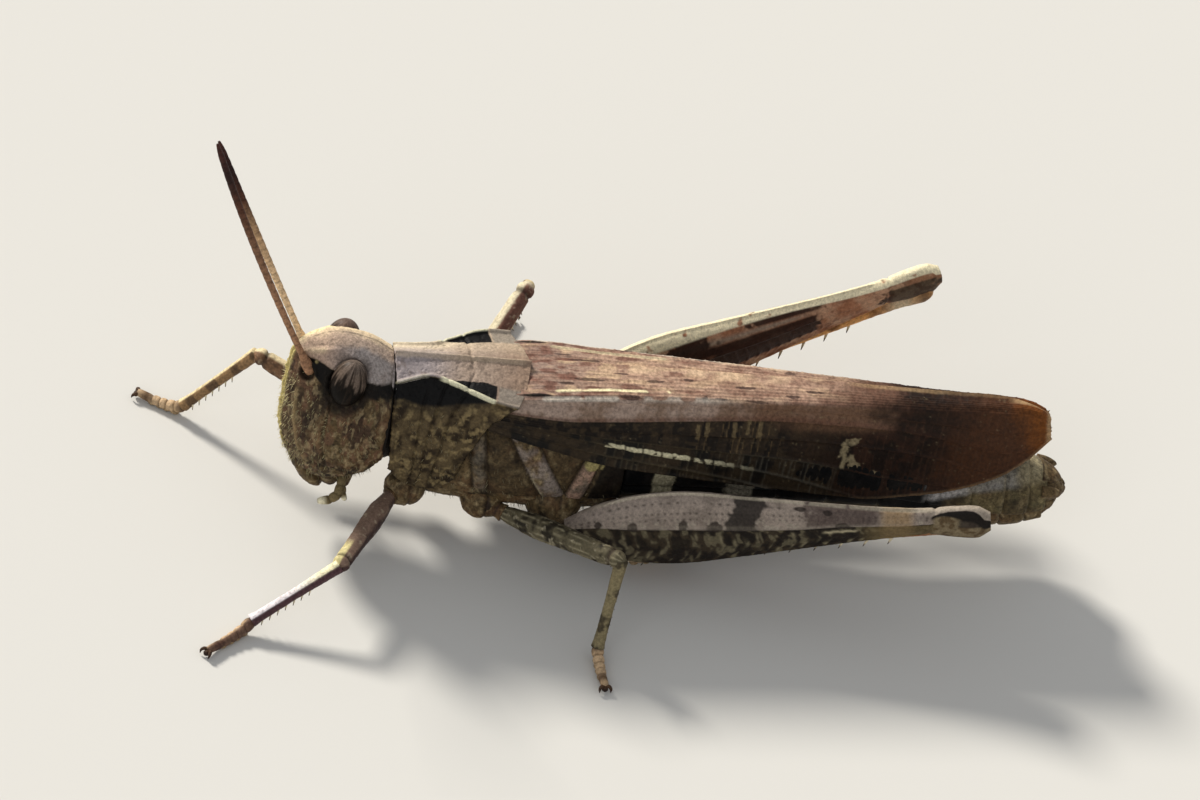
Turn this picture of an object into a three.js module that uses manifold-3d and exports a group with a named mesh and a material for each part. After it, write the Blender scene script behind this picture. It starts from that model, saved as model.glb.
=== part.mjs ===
// A field grasshopper, a female at rest, at life size, as a still museum model.
// Millimetres. X runs from the head (-X) to the tail (+X), Y to the insect's right, Z up.
// While it is built, x = 0 and y = 0 are the rear point of the pronotum; the floor is z = 0.
import * as THREE from 'three';
import { mergeVertices } from 'three/addons/utils/BufferGeometryUtils.js';
import Module from 'manifold-3d';

const wasm = await Module();
wasm.setup();

// ---------------------------------------------------------------- driving dimensions
const GAP = 0.05;                 // air between neighbouring pieces
const FLAT = 0.12;                // how much of a round foot is levelled off on the floor
const PRONOTUM_LENGTH = 3.95;
const BACK_HEIGHT = 6.1;          // the flat of the back above the floor
const BELLY_HEIGHT = 1.5;         // the breast above the floor
const HEAD_FRONT = -6.88;         // the most forward point of the face
const HEAD_REAR = -PRONOTUM_LENGTH - GAP;
const HEAD_ROLL = -8;             // degrees, the crown leans a little to the right
const HEAD_PIVOT_HEIGHT = 4.2;
const EYE_CENTRE = [-5.3, 1.03, 5.45];
const EYE_RADII = [0.54, 0.5, 0.78];
const EYE_TILT = 8;               // degrees, the lower end of the eye lies a little forward
const ANTENNA_THICKNESS = 0.5;
const WING_END = 15.35;
const WING_THICKNESS = 0.5;
const ABDOMEN_END = 15.6;
const TAIL_END = 16.3;
const TAIL_HEIGHT = 2.6;

// Leg joints, from hip to toe, as x, y, z.
const LEGS = {
  front_left: {
    hip: [-3.05, -1.0, 1.85], trochanter: [-3.5, -1.35, 1.75],
    knee: [-5.21, -4.5, 1.85], ankle: [-7.6, -5.5, 0.42], toe: [-9.0, -6.7, 0.25],
  },
  front_right: {
    hip: [-3.05, 1.0, 1.85], trochanter: [-3.6, 1.35, 1.8],
    knee: [-7.25, 2.95, 2.95], ankle: [-8.95, 3.3, 0.42], toe: [-10.3, 4.0, 0.25],
  },
  middle_left: {
    hip: [-0.85, -1.3, 1.85], trochanter: [-0.2, -1.72, 1.75],
    knee: [2.75, -4.75, 3.05], ankle: [2.45, -5.6, 0.42], toe: [2.6, -7.1, 0.25],
  },
  middle_right: {
    hip: [-1.1, 1.3, 1.85], trochanter: [-1.75, 1.85, 2.05],
    knee: [0.68, 5.35, 4.15], ankle: [0.5, 6.8, 0.45], toe: [1.22, 8.4, 0.25],
  },
  hind_left: {
    hip: [1.2, -1.4, 2.1], trochanter: [1.75, -2.3, 1.82],
    knee: [13.3, -3.1, 4.1], ankle: [3.6, -1.65, 0.5], toe: [5.75, -1.15, 0.27],
  },
  hind_right: {
    hip: [1.2, 1.4, 2.1], trochanter: [1.75, 2.3, 2.5],
    knee: [12.4, 5.6, 5.5], ankle: [3.4, 4.25, 0.5], toe: [5.85, 5.2, 0.27],
  },
};

// ---------------------------------------------------------------- shape tools
const vec = (x, y, z) => new THREE.Vector3(x, y, z);

// A smooth curve through [place, value] pairs.
function along(pairs, place) {
  const last = pairs.length - 1;
  if (place <= pairs[0][0]) return pairs[0][1];
  if (place >= pairs[last][0]) return pairs[last][1];
  let k = 0;
  while (place > pairs[k + 1][0]) k += 1;
  const slope = (i) => {
    const a = pairs[Math.max(i - 1, 0)];
    const b = pairs[Math.min(i + 1, last)];
    return (b[1] - a[1]) / (b[0] - a[0]);
  };
  const width = pairs[k + 1][0] - pairs[k][0];
  const t = (place - pairs[k][0]) / width;
  const s = 1 - t;
  return pairs[k][1] * (1 + 2 * t) * s * s + slope(k) * width * t * s * s
    + pairs[k + 1][1] * (3 - 2 * t) * t * t - slope(k + 1) * width * s * t * t;
}

// A closed body through rings of equal length, with a fan over each end.
function skin(rings) {
  const n = rings[0].length;
  const points = rings.flat().flatMap((p) => [p.x, p.y, p.z]);
  for (const ring of [rings[0], rings[rings.length - 1]]) {
    const c = ring.reduce((sum, p) => sum.add(p), vec(0, 0, 0)).divideScalar(n);
    points.push(c.x, c.y, c.z);
  }
  const faces = [];
  for (let r = 0; r < rings.length - 1; r += 1) {
    for (let i = 0; i < n; i += 1) {
      const a = r * n + i;
      const b = r * n + (i + 1) % n;
      faces.push(a, b, b + n, a, b + n, a + n);
    }
  }
  const end = (rings.length - 1) * n;
  for (let i = 0; i < n; i += 1) {
    const j = (i + 1) % n;
    faces.push(rings.length * n, j, i);
    faces.push(rings.length * n + 1, end + i, end + j);
  }
  const geometry = new THREE.BufferGeometry();
  geometry.setAttribute('position', new THREE.Float32BufferAttribute(points, 3));
  geometry.setIndex(faces);
  return facingOut(geometry);
}

function volume(geometry) {
  const p = geometry.attributes.position;
  const corner = (i) => vec().fromBufferAttribute(p, geometry.index.getX(i));
  let sum = 0;
  for (let i = 0; i < geometry.index.count; i += 3) {
    sum += corner(i).dot(corner(i + 1).cross(corner(i + 2))) / 6;
  }
  return sum;
}

function facingOut(geometry) {
  if (volume(geometry) > 0) return geometry;
  const index = geometry.index.array;
  for (let i = 0; i < index.length; i += 3) [index[i], index[i + 1]] = [index[i + 1], index[i]];
  return geometry;
}

const welded = (geometry) => {
  const bare = geometry.clone();
  bare.deleteAttribute('normal');
  bare.deleteAttribute('uv');
  return mergeVertices(bare, 1e-4);
};

// The same closed body with its surface moved out by a small distance.
function grown(geometry, by) {
  const out = welded(geometry);
  out.computeVertexNormals();
  const p = out.attributes.position;
  const n = out.attributes.normal;
  for (let i = 0; i < p.count; i += 1) {
    p.setXYZ(i, p.getX(i) + by * n.getX(i), p.getY(i) + by * n.getY(i), p.getZ(i) + by * n.getZ(i));
  }
  out.deleteAttribute('normal');
  return out;
}

function toSolid(geometry) {
  const bare = welded(geometry);
  return new wasm.Manifold(new wasm.Mesh({
    numProp: 3,
    vertProperties: new Float32Array(bare.attributes.position.array),
    triVerts: new Uint32Array(bare.index.array),
  }));
}

function toGeometry(solid) {
  const mesh = solid.getMesh();
  const geometry = new THREE.BufferGeometry();
  geometry.setAttribute('position', new THREE.Float32BufferAttribute(mesh.vertProperties, 3));
  geometry.setIndex(Array.from(mesh.triVerts));
  return geometry;
}

// The largest body that is left of a piece when its neighbours, and the gap round them, are cut out.
function cut(geometry, ...neighbours) {
  let solid = toSolid(geometry);
  for (const other of neighbours) solid = solid.subtract(toSolid(grown(other, GAP)));
  const bodies = solid.decompose().sort((a, b) => b.volume() - a.volume());
  return toGeometry(bodies[0]);
}

const joined = (...geometries) => toGeometry(
  geometries.map(toSolid).reduce((whole, piece) => whole.add(piece)),
);

const mirrored = (geometry) => facingOut(geometry.clone().scale(1, -1, 1));

// A tapering member from a to b; rows hold [share of length, half depth, half width, lift].
function limb(a, b, rows, sides = 8, upright = vec(0, 0, 1)) {
  const start = vec(...a);
  const axis = vec(...b).sub(start);
  const side = axis.clone().cross(upright).normalize();
  const up = side.clone().cross(axis).normalize();
  return skin(rows.map(([share, depth, width, lift = 0]) => {
    const middle = start.clone().addScaledVector(axis, share).addScaledVector(up, lift);
    return Array.from({ length: sides }, (_, i) => {
      const angle = (2 * Math.PI * i) / sides;
      return middle.clone().addScaledVector(up, depth * Math.cos(angle))
        .addScaledVector(side, width * Math.sin(angle));
    });
  }));
}

// A body whose upright cross-sections are egg-shaped: wide below, narrower on top.
function trunk(places, top, bottom, half, { sides = 18, square = 2.4, taper = 0 } = {}) {
  return skin(places.map((x) => {
    const low = along(bottom, x);
    const high = along(top, x);
    return Array.from({ length: sides }, (_, i) => {
      const angle = (2 * Math.PI * (i + 0.5)) / sides;
      const round = (v) => Math.sign(v) * Math.abs(v) ** (2 / square);
      const z = (low + high) / 2 + ((high - low) / 2) * round(Math.cos(angle));
      const share = (z - low) / (high - low);
      return vec(x, along(half, x) * round(Math.sin(angle)) * (1 - taper * share * share), z);
    });
  }));
}

function ellipsoid(centre, radii, tilt = 0, sides = 14) {
  const ball = welded(new THREE.SphereGeometry(1, sides, Math.round(sides * 0.7)));
  ball.scale(...radii);
  ball.rotateY(THREE.MathUtils.degToRad(tilt));
  return ball.translate(...centre);
}

// A flat foot: everything under the floor is cut away.
function onFloor(geometry) {
  const reach = 60;
  const floor = new THREE.BoxGeometry(reach, reach, reach).translate(0, 0, -reach / 2);
  return toGeometry(toSolid(geometry).subtract(toSolid(floor)));
}

const rolled = (geometry) => geometry.translate(0, 0, -HEAD_PIVOT_HEIGHT)
  .rotateX(THREE.MathUtils.degToRad(HEAD_ROLL)).translate(0, 0, HEAD_PIVOT_HEIGHT);

const spread = (from, to, count) => Array.from(
  { length: count }, (_, i) => from + ((to - from) * i) / (count - 1),
);

// ---------------------------------------------------------------- pieces and their finishes
const grasshopper = new THREE.Group();
const finish = {
  horn: { color: 0x6b5846, roughness: 0.6 },
  back: { color: 0x9c8878, roughness: 0.6 },
  wing: { color: 0x7a5f4f, roughness: 0.55 },
  eye: { color: 0x57483f, roughness: 0.25 },
  leg: { color: 0x8a7560, roughness: 0.6 },
  shin: { color: 0x8c5a3a, roughness: 0.55 },
  feeler: { color: 0x6e5340, roughness: 0.6 },
};

function add(name, geometry, look) {
  const mesh = new THREE.Mesh(geometry, new THREE.MeshStandardMaterial(finish[look]));
  mesh.name = name;
  grasshopper.add(mesh);
}

// ---------------------------------------------------------------- head
// Slanted face with a short pointed crown, cheeks wide below the eyes.
const headTop = [
  [HEAD_FRONT, 4.9], [-6.8, 5.78], [-6.62, 6.18], [-6.2, 6.43],
  [-5.5, 6.53], [-4.6, 6.33], [HEAD_REAR, 6.0],
];
const headBottom = [
  [HEAD_FRONT, 3.95], [-6.8, 3.0], [-6.62, 2.5], [-6.2, 1.98],
  [-5.6, 1.72], [-4.8, 1.85], [-4.3, 2.1], [HEAD_REAR, 2.45],
];
const headHalf = [
  [HEAD_FRONT, 0.3], [-6.8, 0.55], [-6.62, 0.8], [-6.2, 1.15],
  [-5.6, 1.45], [-4.8, 1.6], [HEAD_REAR, 1.55],
];
const headPlaces = [HEAD_FRONT, -6.8, -6.62, -6.4, -6.1, -5.7, -5.2, -4.7, -4.3, HEAD_REAR];
const skull = rolled(trunk(headPlaces, headTop, headBottom, headHalf, { sides: 22, taper: 0.34 }));

const eye = (side) => rolled(ellipsoid(
  [EYE_CENTRE[0], side * EYE_CENTRE[1], EYE_CENTRE[2]], EYE_RADII, EYE_TILT,
));
const eyes = { left: eye(-1), right: eye(1) };

// Upper lip over the jaws, with a feeler of the mouth hanging on each side.
const lip = limb([-6.32, 0, 2.4], [-5.45, 0, 1.3], [
  [0, 0.2, 0.62], [0.35, 0.32, 0.72], [0.75, 0.3, 0.62], [1, 0.14, 0.36],
], 12);
const jaws = limb([-5.35, 0, 2.6], [-5.15, 0, 1.42], [
  [0, 0.5, 1.0], [0.5, 0.45, 0.95], [0.85, 0.34, 0.7], [1, 0.16, 0.4],
], 14, vec(-1, 0, 0));
const palp = (side) => joined(
  limb([-4.9, side * 0.72, 2.0], [-5.02, side * 1.05, 1.5], [[0, 0.25, 0.25], [1, 0.25, 0.25]]),
  limb([-4.95, side * 1.0, 1.6], [-5.45, side * 0.98, 1.28], [[0, 0.25, 0.25], [1, 0.2, 0.2]]),
);
const mouth = rolled(joined(lip, jaws, palp(-1), palp(1)));

// Feelers: thin rods that bend a little, from a cup under the crown.
function feeler(base, reach, bend) {
  const start = vec(...base);
  const tip = start.clone().add(vec(...reach));
  const middle = start.clone().lerp(tip, 0.5).add(vec(...bend));
  const route = new THREE.QuadraticBezierCurve3(start, middle, tip);
  const section = new THREE.Shape().absarc(0, 0, ANTENNA_THICKNESS / 2, 0, 2 * Math.PI);
  return facingOut(welded(new THREE.ExtrudeGeometry(section, {
    steps: 9, curveSegments: 4, bevelEnabled: false, extrudePath: route,
  })));
}
const feelers = {
  left: feeler([-6.35, -0.42, 5.5], [-3.72, 1.85, 6.9], [-0.33, 0, 0.12]),
  right: feeler([-6.35, 0.76, 5.34], [-3.3, 2.45, 5.55], [-0.06, 0, 0.1]),
};

add('head', cut(skull, eyes.left, eyes.right, mouth, feelers.left, feelers.right), 'horn');
add('eye_left', cut(eyes.left), 'eye');
add('eye_right', cut(eyes.right), 'eye');
add('mouthparts', cut(mouth), 'horn');
add('antenna_left', cut(feelers.left), 'feeler');
add('antenna_right', cut(feelers.right), 'feeler');

// ---------------------------------------------------------------- pronotum
// A saddle: a flat back between two bent keels, and a lobe down each side.
const KEEL = 0.32;                // share of the half-section that is the flat back
const frontEdge = [[0, -PRONOTUM_LENGTH], [KEEL, -3.9], [0.6, -3.85], [1, -3.7]];
const rearEdge = [
  [0, 0], [KEEL / 2, -0.15], [KEEL, -0.45], [0.4, -0.85], [0.5, -1.2], [0.75, -1.6], [1, -1.95],
];
const keelHalf = [[0, 0.78], [0.27, 0.64], [0.4, 0.77], [0.66, 1.26], [0.8, 1.46], [1, 1.58]];
const keelDrop = [[0, 0.46], [0.15, 0.32], [0.27, 0.22], [0.66, 0.22], [0.8, 0.27], [1, 0.35]];
const lobeLow = [[0, 3.0], [0.15, 2.65], [0.4, 2.42], [0.75, 2.45], [0.9, 2.65], [1, 3.0]];
const lobeBulge = [[0, 0], [0.12, 0.22], [0.45, 0.8], [0.75, 1], [1, 0.88]];
const LOBE_HALF = 1.68;

function pronotumPoint(share, around, side) {
  const x = THREE.MathUtils.lerp(along(frontEdge, around), along(rearEdge, around), share);
  const keel = along(keelHalf, share);
  const back = BACK_HEIGHT + 0.06 * (1 - share);
  const drop = along(keelDrop, share);
  if (around <= KEEL) {
    const q = around / KEEL;
    return vec(x, side * keel * q, back - drop * q);
  }
  const q = (around - KEEL) / (1 - KEEL);
  const out = LOBE_HALF - keel;
  const z = THREE.MathUtils.lerp(back - drop, along(lobeLow, share), q);
  return vec(x, side * (keel + out * along(lobeBulge, q)), z);
}

const halfRound = [0, 0.16, KEEL, 0.38, 0.5, 0.62, 0.75, 0.88, 1];
const saddle = skin(spread(0, 1, 9).map((share) => [
  ...halfRound.map((around) => pronotumPoint(share, around, 1)),
  ...[...halfRound].reverse().slice(0, -1).map((around) => pronotumPoint(share, around, -1)),
]));

// ---------------------------------------------------------------- wings
// The folded fore wing: a flat strip on the back, a fold, and a deep strip down the side.
const WING_START = -1.2;
const wingTop = [
  [WING_START, 5.8], [0.4, 5.95], [3, 5.98], [8, 5.94],
  [12, 5.85], [14.2, 5.84], [14.7, 5.78], [15.1, 5.61], [WING_END, 5.38],
];
const wingLow = [
  [WING_START, 4.8], [0.4, 4.5], [2.2, 4.0], [4, 3.7], [7, 3.28], [10, 2.95],
  [11.5, 3.12], [12.5, 3.3], [13.4, 3.61], [14.1, 3.96], [14.7, 4.46], [15.1, 4.88], [WING_END, 5.08],
];
const wingFold = [
  [WING_START, 1.2], [0.4, 1.25], [2.5, 1.06], [7, 0.78], [10, 0.6], [13, 0.44], [14.7, 0.36],
  [WING_END, 0.25],
];
const wingHem = [
  [WING_START, 1.6], [0.4, 1.85], [4, 1.75], [8, 1.47], [11.5, 1.27], [13.4, 1.12], [14.1, 1.01],
  [14.7, 0.86], [15.1, 0.7], [WING_END, 0.5],
];

function wing() {
  const inner = GAP / 2;
  const places = [WING_START, 0.4, 2, 4.5, 7, 9.5, 11.5, 12.5, 13.4, 14.1, 14.7, 15.1, WING_END];
  return skin(places.map((x) => {
    const top = along(wingTop, x);
    const low = along(wingLow, x);
    const fold = along(wingFold, x);
    const hem = along(wingHem, x);
    const deep = top - low;
    const flare = hem - fold;
    const thick = Math.min(WING_THICKNESS, deep * 0.45, fold - inner);
    const outer = [
      [inner, top - 0.02], [fold * 0.5, top], [fold - 0.12, top - 0.02], [fold, top - 0.12],
      [fold + flare * 0.35, top - deep * 0.3], [fold + flare * 0.75, top - deep * 0.7], [hem, low],
    ];
    const under = [
      [hem - thick, low + 0.05], [fold + flare * 0.5 - thick, top - deep * 0.5],
      [fold - thick, top - thick - 0.1], [inner, top - thick],
    ];
    return [...outer, ...under].map(([y, z]) => vec(x, Math.max(y, inner), z));
  }));
}
const wingRight = wing();
const wingLeft = mirrored(wingRight);

// ---------------------------------------------------------------- thorax and abdomen
const BREAST_START = -3.4;
const BREAST_END = 3.0;
const breast = trunk(spread(BREAST_START, BREAST_END, 10), [
  [BREAST_START, 2.9], [-2.3, 3.6], [-1.2, 5.2], [BREAST_END, 5.1],
], [
  [BREAST_START, 1.95], [-2.6, BELLY_HEIGHT], [2.2, BELLY_HEIGHT - 0.05], [BREAST_END, 1.6],
], [
  [BREAST_START, 0.9], [-2.4, 1.3], [-1.2, 1.75], [1.0, 1.92], [BREAST_END, 1.7],
], { square: 2.6, taper: 0.3 });

const abdomenTop = [[2.9, 5.2], [6, 5.0], [10, 4.65], [13, 4.15], [14.6, 3.78], [ABDOMEN_END, 3.42]];
const abdomenLow = [[2.9, 1.6], [6, 1.7], [10, 1.8], [12.5, 1.6], [14.4, 1.45], [ABDOMEN_END, 1.75]];
const abdomenHalf = [[2.9, 1.62], [6, 1.45], [10, 1.28], [13, 1.18], [14.6, 1.1], [ABDOMEN_END, 0.85]];
const hull = trunk(
  [BREAST_END + GAP, 4.5, 6, 7.5, 9, 10.5, 12, 13, 14, 14.8, ABDOMEN_END],
  abdomenTop, abdomenLow, abdomenHalf, { square: 2.2 },
);
const cercus = (side) => limb(
  [15.45, side * 0.66, 3.05], [16.0, side * 0.6, 3.02], [[0, 0.25, 0.25], [1, 0.14, 0.14]],
);
const valves = joined(
  limb([ABDOMEN_END + GAP, 0, TAIL_HEIGHT], [TAIL_END, 0, TAIL_HEIGHT], [
    [0, 0.74, 0.74], [0.35, 0.66, 0.6], [0.75, 0.42, 0.4], [1, 0.2, 0.22],
  ], 12),
  cercus(-1),
  cercus(1),
);

add('pronotum', cut(saddle, skull), 'back');

// ---------------------------------------------------------------- legs
const thighRows = {
  front: [[0, 0.25, 0.25], [0.25, 0.36, 0.32], [0.7, 0.3, 0.28], [0.94, 0.28, 0.27], [1.02, 0.18, 0.18]],
  middle: [[0, 0.25, 0.25], [0.3, 0.38, 0.33], [0.7, 0.33, 0.3], [0.94, 0.3, 0.28], [1.02, 0.18, 0.18]],
  hind: [
    [-0.02, 0.4, 0.3], [0.05, 0.85, 0.45], [0.15, 1.22, 0.56], [0.27, 1.33, 0.58],
    [0.42, 1.1, 0.52], [0.58, 0.82, 0.42], [0.74, 0.56, 0.34], [0.86, 0.46, 0.31],
    [0.93, 0.56, 0.33, -0.04], [0.985, 0.56, 0.33, -0.08], [1.015, 0.32, 0.24, -0.08],
  ],
};
const shinRows = {
  front: [[0, 0.26, 0.26], [0.5, 0.25, 0.25], [1, 0.26, 0.26]],
  middle: [[0, 0.26, 0.26], [0.5, 0.25, 0.25], [1, 0.26, 0.26]],
  hind: [[0, 0.3, 0.28], [0.06, 0.34, 0.28], [0.14, 0.27, 0.26], [0.85, 0.27, 0.26], [1, 0.34, 0.32]],
};

for (const [name, joint] of Object.entries(LEGS)) {
  const pair = name.split('_')[0];
  const hind = pair === 'hind';
  const hipBall = joined(
    ellipsoid(joint.hip, hind ? [0.85, 0.66, 0.72] : [0.62, 0.56, 0.58], 0, 9),
    limb(joint.hip, joint.trochanter, [[0, 0.42, 0.42], [1, 0.3, 0.3]]),
  );
  const thigh = limb(joint.trochanter, joint.knee, thighRows[pair], hind ? 12 : 8);
  const droop = name === 'hind_right' ? [0.05, -0.1, -0.45] : [0.05, 0, -0.18];
  const shinTop = hind ? joint.knee.map((place, i) => place + droop[i]) : joint.knee;
  const shin = limb(shinTop, joint.ankle, shinRows[pair]);
  const heel = vec(...joint.ankle);
  const toe = vec(...joint.toe);
  const pads = [[0, 0.26], [0.3, 0.3], [0.38, 0.25], [0.55, 0.29], [0.62, 0.25], [0.9, 0.28], [1, 0.2]];
  const foot = onFloor(limb(heel.toArray(), toe.clone().setZ(toe.z - FLAT).toArray(), pads.map(
    ([share, half]) => [share, half, half],
  )));
  add(`coxa_${name}`, cut(hipBall, breast, saddle, skull, thigh), 'horn');
  add(`femur_${name}`, cut(thigh, breast, saddle, skull, wingLeft, wingRight, hull), 'leg');
  add(`tibia_${name}`, cut(shin, thigh, foot), 'shin');
  add(`tarsus_${name}`, cut(foot), 'shin');
}

add('thorax', cut(breast, saddle, skull, wingLeft, wingRight), 'horn');
add('abdomen', cut(hull, wingLeft, wingRight), 'horn');
add('abdomen_tip', cut(valves, hull), 'horn');
add('tegmen_left', cut(wingLeft, saddle), 'wing');
add('tegmen_right', cut(wingRight, saddle), 'wing');

// The origin goes to the middle of the underside of the whole insect's box.
const box = new THREE.Box3().setFromObject(grasshopper);
const middle = box.getCenter(vec());
grasshopper.position.set(-middle.x, -middle.y, -box.min.z);

export default grasshopper;
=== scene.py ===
import math

import bpy
import numpy as np
from mathutils import Matrix, Vector


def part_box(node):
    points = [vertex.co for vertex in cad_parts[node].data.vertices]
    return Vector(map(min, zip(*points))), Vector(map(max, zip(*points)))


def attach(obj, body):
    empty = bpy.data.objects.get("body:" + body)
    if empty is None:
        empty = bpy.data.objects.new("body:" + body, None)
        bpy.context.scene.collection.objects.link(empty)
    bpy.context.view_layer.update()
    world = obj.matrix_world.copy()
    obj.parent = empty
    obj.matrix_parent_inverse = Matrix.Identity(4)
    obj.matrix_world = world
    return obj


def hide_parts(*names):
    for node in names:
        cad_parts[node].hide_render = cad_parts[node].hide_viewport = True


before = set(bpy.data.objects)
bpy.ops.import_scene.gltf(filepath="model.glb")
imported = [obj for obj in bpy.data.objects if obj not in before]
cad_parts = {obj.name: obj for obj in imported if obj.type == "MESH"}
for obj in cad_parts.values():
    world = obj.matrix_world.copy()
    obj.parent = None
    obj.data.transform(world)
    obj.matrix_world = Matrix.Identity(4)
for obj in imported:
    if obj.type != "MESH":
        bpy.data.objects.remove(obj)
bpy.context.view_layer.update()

# ---------------------------------------------------------------- viewpoint, light and floor
# The finished model stands on a plain pale floor in soft light. It is looked at from its front
# left and from well above, through a long lens, so that it shows almost without perspective.
MM = 0.001
SIDE_TURN = math.radians(14)          # how far the view is turned towards the face
LOOK_DOWN = math.radians(42)
CAMERA_ROLL = math.radians(13.5)      # clockwise
VIEW_WIDTH = 34.29                    # mm across the view, at the insect
VIEW_DISTANCE = 600.0                 # mm
AIM_RIGHT, AIM_DOWN = 1.97, 1.0       # mm from the back's rear point to the middle of the view
BACK_HEIGHT = 6.1                     # mm, the flat of the back above the floor

back_low, back_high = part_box("pronotum")
rear_point = np.array([back_high[0], (back_low[1] + back_high[1]) / 2, 0.0]) / MM


def place(points):
    """Millimetres counted from the rear point of the pronotum, to metres in the frame."""
    return (np.asarray(points, float) + rear_point) * MM


def turned(right, up, back, at):
    """The matrix of a lamp or camera that looks against back."""
    matrix = np.eye(4)
    matrix[:3, 0], matrix[:3, 1], matrix[:3, 2], matrix[:3, 3] = right, up, back, at
    return Matrix(matrix.tolist())


def unit(vector):
    vector = np.asarray(vector, float)
    return vector / np.linalg.norm(vector, axis=-1, keepdims=True)


to_camera = np.array([
    -math.sin(SIDE_TURN) * math.cos(LOOK_DOWN),
    -math.cos(SIDE_TURN) * math.cos(LOOK_DOWN),
    math.sin(LOOK_DOWN),
])
level = np.array([math.cos(SIDE_TURN), -math.sin(SIDE_TURN), 0.0])
upward = np.cross(to_camera, level)
view_right = math.cos(CAMERA_ROLL) * level + math.sin(CAMERA_ROLL) * upward
view_up = math.cos(CAMERA_ROLL) * upward - math.sin(CAMERA_ROLL) * level
aim = np.array([0.0, 0.0, BACK_HEIGHT - 0.1]) + AIM_RIGHT * view_right - AIM_DOWN * view_up

camera_data = bpy.data.cameras.new("camera")
camera_data.sensor_width = 36.0
camera_data.lens = camera_data.sensor_width * VIEW_DISTANCE / VIEW_WIDTH
camera = bpy.data.objects.new("camera", camera_data)
bpy.context.scene.collection.objects.link(camera)
camera.matrix_world = turned(view_right, view_up, to_camera, place(aim + VIEW_DISTANCE * to_camera))
bpy.context.scene.camera = camera
bpy.context.scene.view_settings.view_transform = "Standard"


def sun(name, to_light, strength, width, colour):
    lamp = bpy.data.lights.new(name, "SUN")
    lamp.energy = strength
    lamp.angle = math.radians(width)
    lamp.color = colour
    holder = bpy.data.objects.new(name, lamp)
    bpy.context.scene.collection.objects.link(holder)
    back = unit(to_light)
    right = unit(np.cross([0.0, 0.3, 1.0], back))
    holder.matrix_world = turned(right, np.cross(back, right), back, back)


sun("key_light", (-0.5, 0.72, 0.64), 4.0, 12, (1.0, 0.95, 0.86))
sun("front_light", (-0.5, -0.9, 0.6), 0.45, 40, (0.94, 0.97, 1.0))

world = bpy.data.worlds.new("room")
bpy.context.scene.world = world
world.use_nodes = True
room = world.node_tree
room.nodes.clear()
room_out = room.nodes.new("ShaderNodeOutputWorld")
room_pick = room.nodes.new("ShaderNodeMixShader")
room_ray = room.nodes.new("ShaderNodeLightPath")
room_light = room.nodes.new("ShaderNodeBackground")
room_light.inputs["Color"].default_value = (0.97, 0.98, 1.0, 1)
room_light.inputs["Strength"].default_value = 0.43
room_white = room.nodes.new("ShaderNodeBackground")
room_white.inputs["Color"].default_value = (1, 1, 1, 1)
room.links.new(room_ray.outputs["Is Camera Ray"], room_pick.inputs[0])
room.links.new(room_light.outputs[0], room_pick.inputs[1])
room.links.new(room_white.outputs[0], room_pick.inputs[2])
room.links.new(room_pick.outputs[0], room_out.inputs["Surface"])

FLOOR_REACH = 1.5                     # m
floor_mesh = bpy.data.meshes.new("floor")
floor_mesh.from_pydata(
    [(x * FLOOR_REACH, y * FLOOR_REACH, -0.00001) for x, y in ((-1, -1), (1, -1), (1, 1), (-1, 1))],
    [], [(0, 1, 2, 3)],
)
floor = bpy.data.objects.new("floor", floor_mesh)
bpy.context.scene.collection.objects.link(floor)
floor_paint = bpy.data.materials.new("pale_floor")
floor_paint.use_nodes = True
floor_shader = floor_paint.node_tree.nodes["Principled BSDF"]
floor_shader.inputs["Base Color"].default_value = (0.67, 0.66, 0.63, 1)
floor_shader.inputs["Roughness"].default_value = 0.9
floor_mesh.materials.append(floor_paint)

# ---------------------------------------------------------------- thorax
# The box that carries wings and legs: hard plates that meet along sunken slanting seams, above a
# flat breast. The plates are the insect's own horn, dull, grained and mottled olive brown; a neck of
# dark skin joins it to the head.
PLATE_SEAMS = [                       # along X at the top (z 4.6) and at the foot (z 2.2) of the side
    (-1.7, -1.17), (-1.18, -0.77), (-0.53, 0.92), (0.24, 1.69), (2.08, 1.25), (2.48, 1.87),
]
SEAM_TOP, SEAM_FOOT = 4.6, 2.2
BREAST_LINE = 2.5                     # height of the seam between side and breast
breast_top = [(-3.4, 2.9), (-2.3, 3.6), (-1.2, 5.2), (3.0, 5.1)]
breast_bottom = [(-3.4, 1.95), (-2.6, 1.5), (2.2, 1.45), (3.0, 1.6)]
breast_half = [(-3.4, 0.9), (-2.4, 1.3), (-1.2, 1.75), (1.0, 1.92), (3.0, 1.7)]
INSET = 0.02                          # mm that a surface lies inside its solid


def along(pairs, place_on):
    """A smooth curve through (place, value) pairs."""
    at, value = np.array(pairs, float).T
    slope = np.empty_like(value)
    slope[1:-1] = (value[2:] - value[:-2]) / (at[2:] - at[:-2])
    slope[0] = (value[1] - value[0]) / (at[1] - at[0])
    slope[-1] = (value[-1] - value[-2]) / (at[-1] - at[-2])
    place_on = np.clip(place_on, at[0], at[-1])
    k = np.clip(np.searchsorted(at, place_on, side="right") - 1, 0, len(at) - 2)
    width = at[k + 1] - at[k]
    t = (place_on - at[k]) / width
    s = 1 - t
    return (value[k] * (1 + 2 * t) * s * s + slope[k] * width * t * s * s
            + value[k + 1] * (3 - 2 * t) * t * t - slope[k + 1] * width * s * t * t)


def step(low, high, value):
    """0 below low, 1 above high, smooth between."""
    t = np.clip((value - low) / (high - low), 0, 1)
    return t * t * (3 - 2 * t)


def ridge(distance, width):
    return np.exp(-(distance / width) ** 2)


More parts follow.
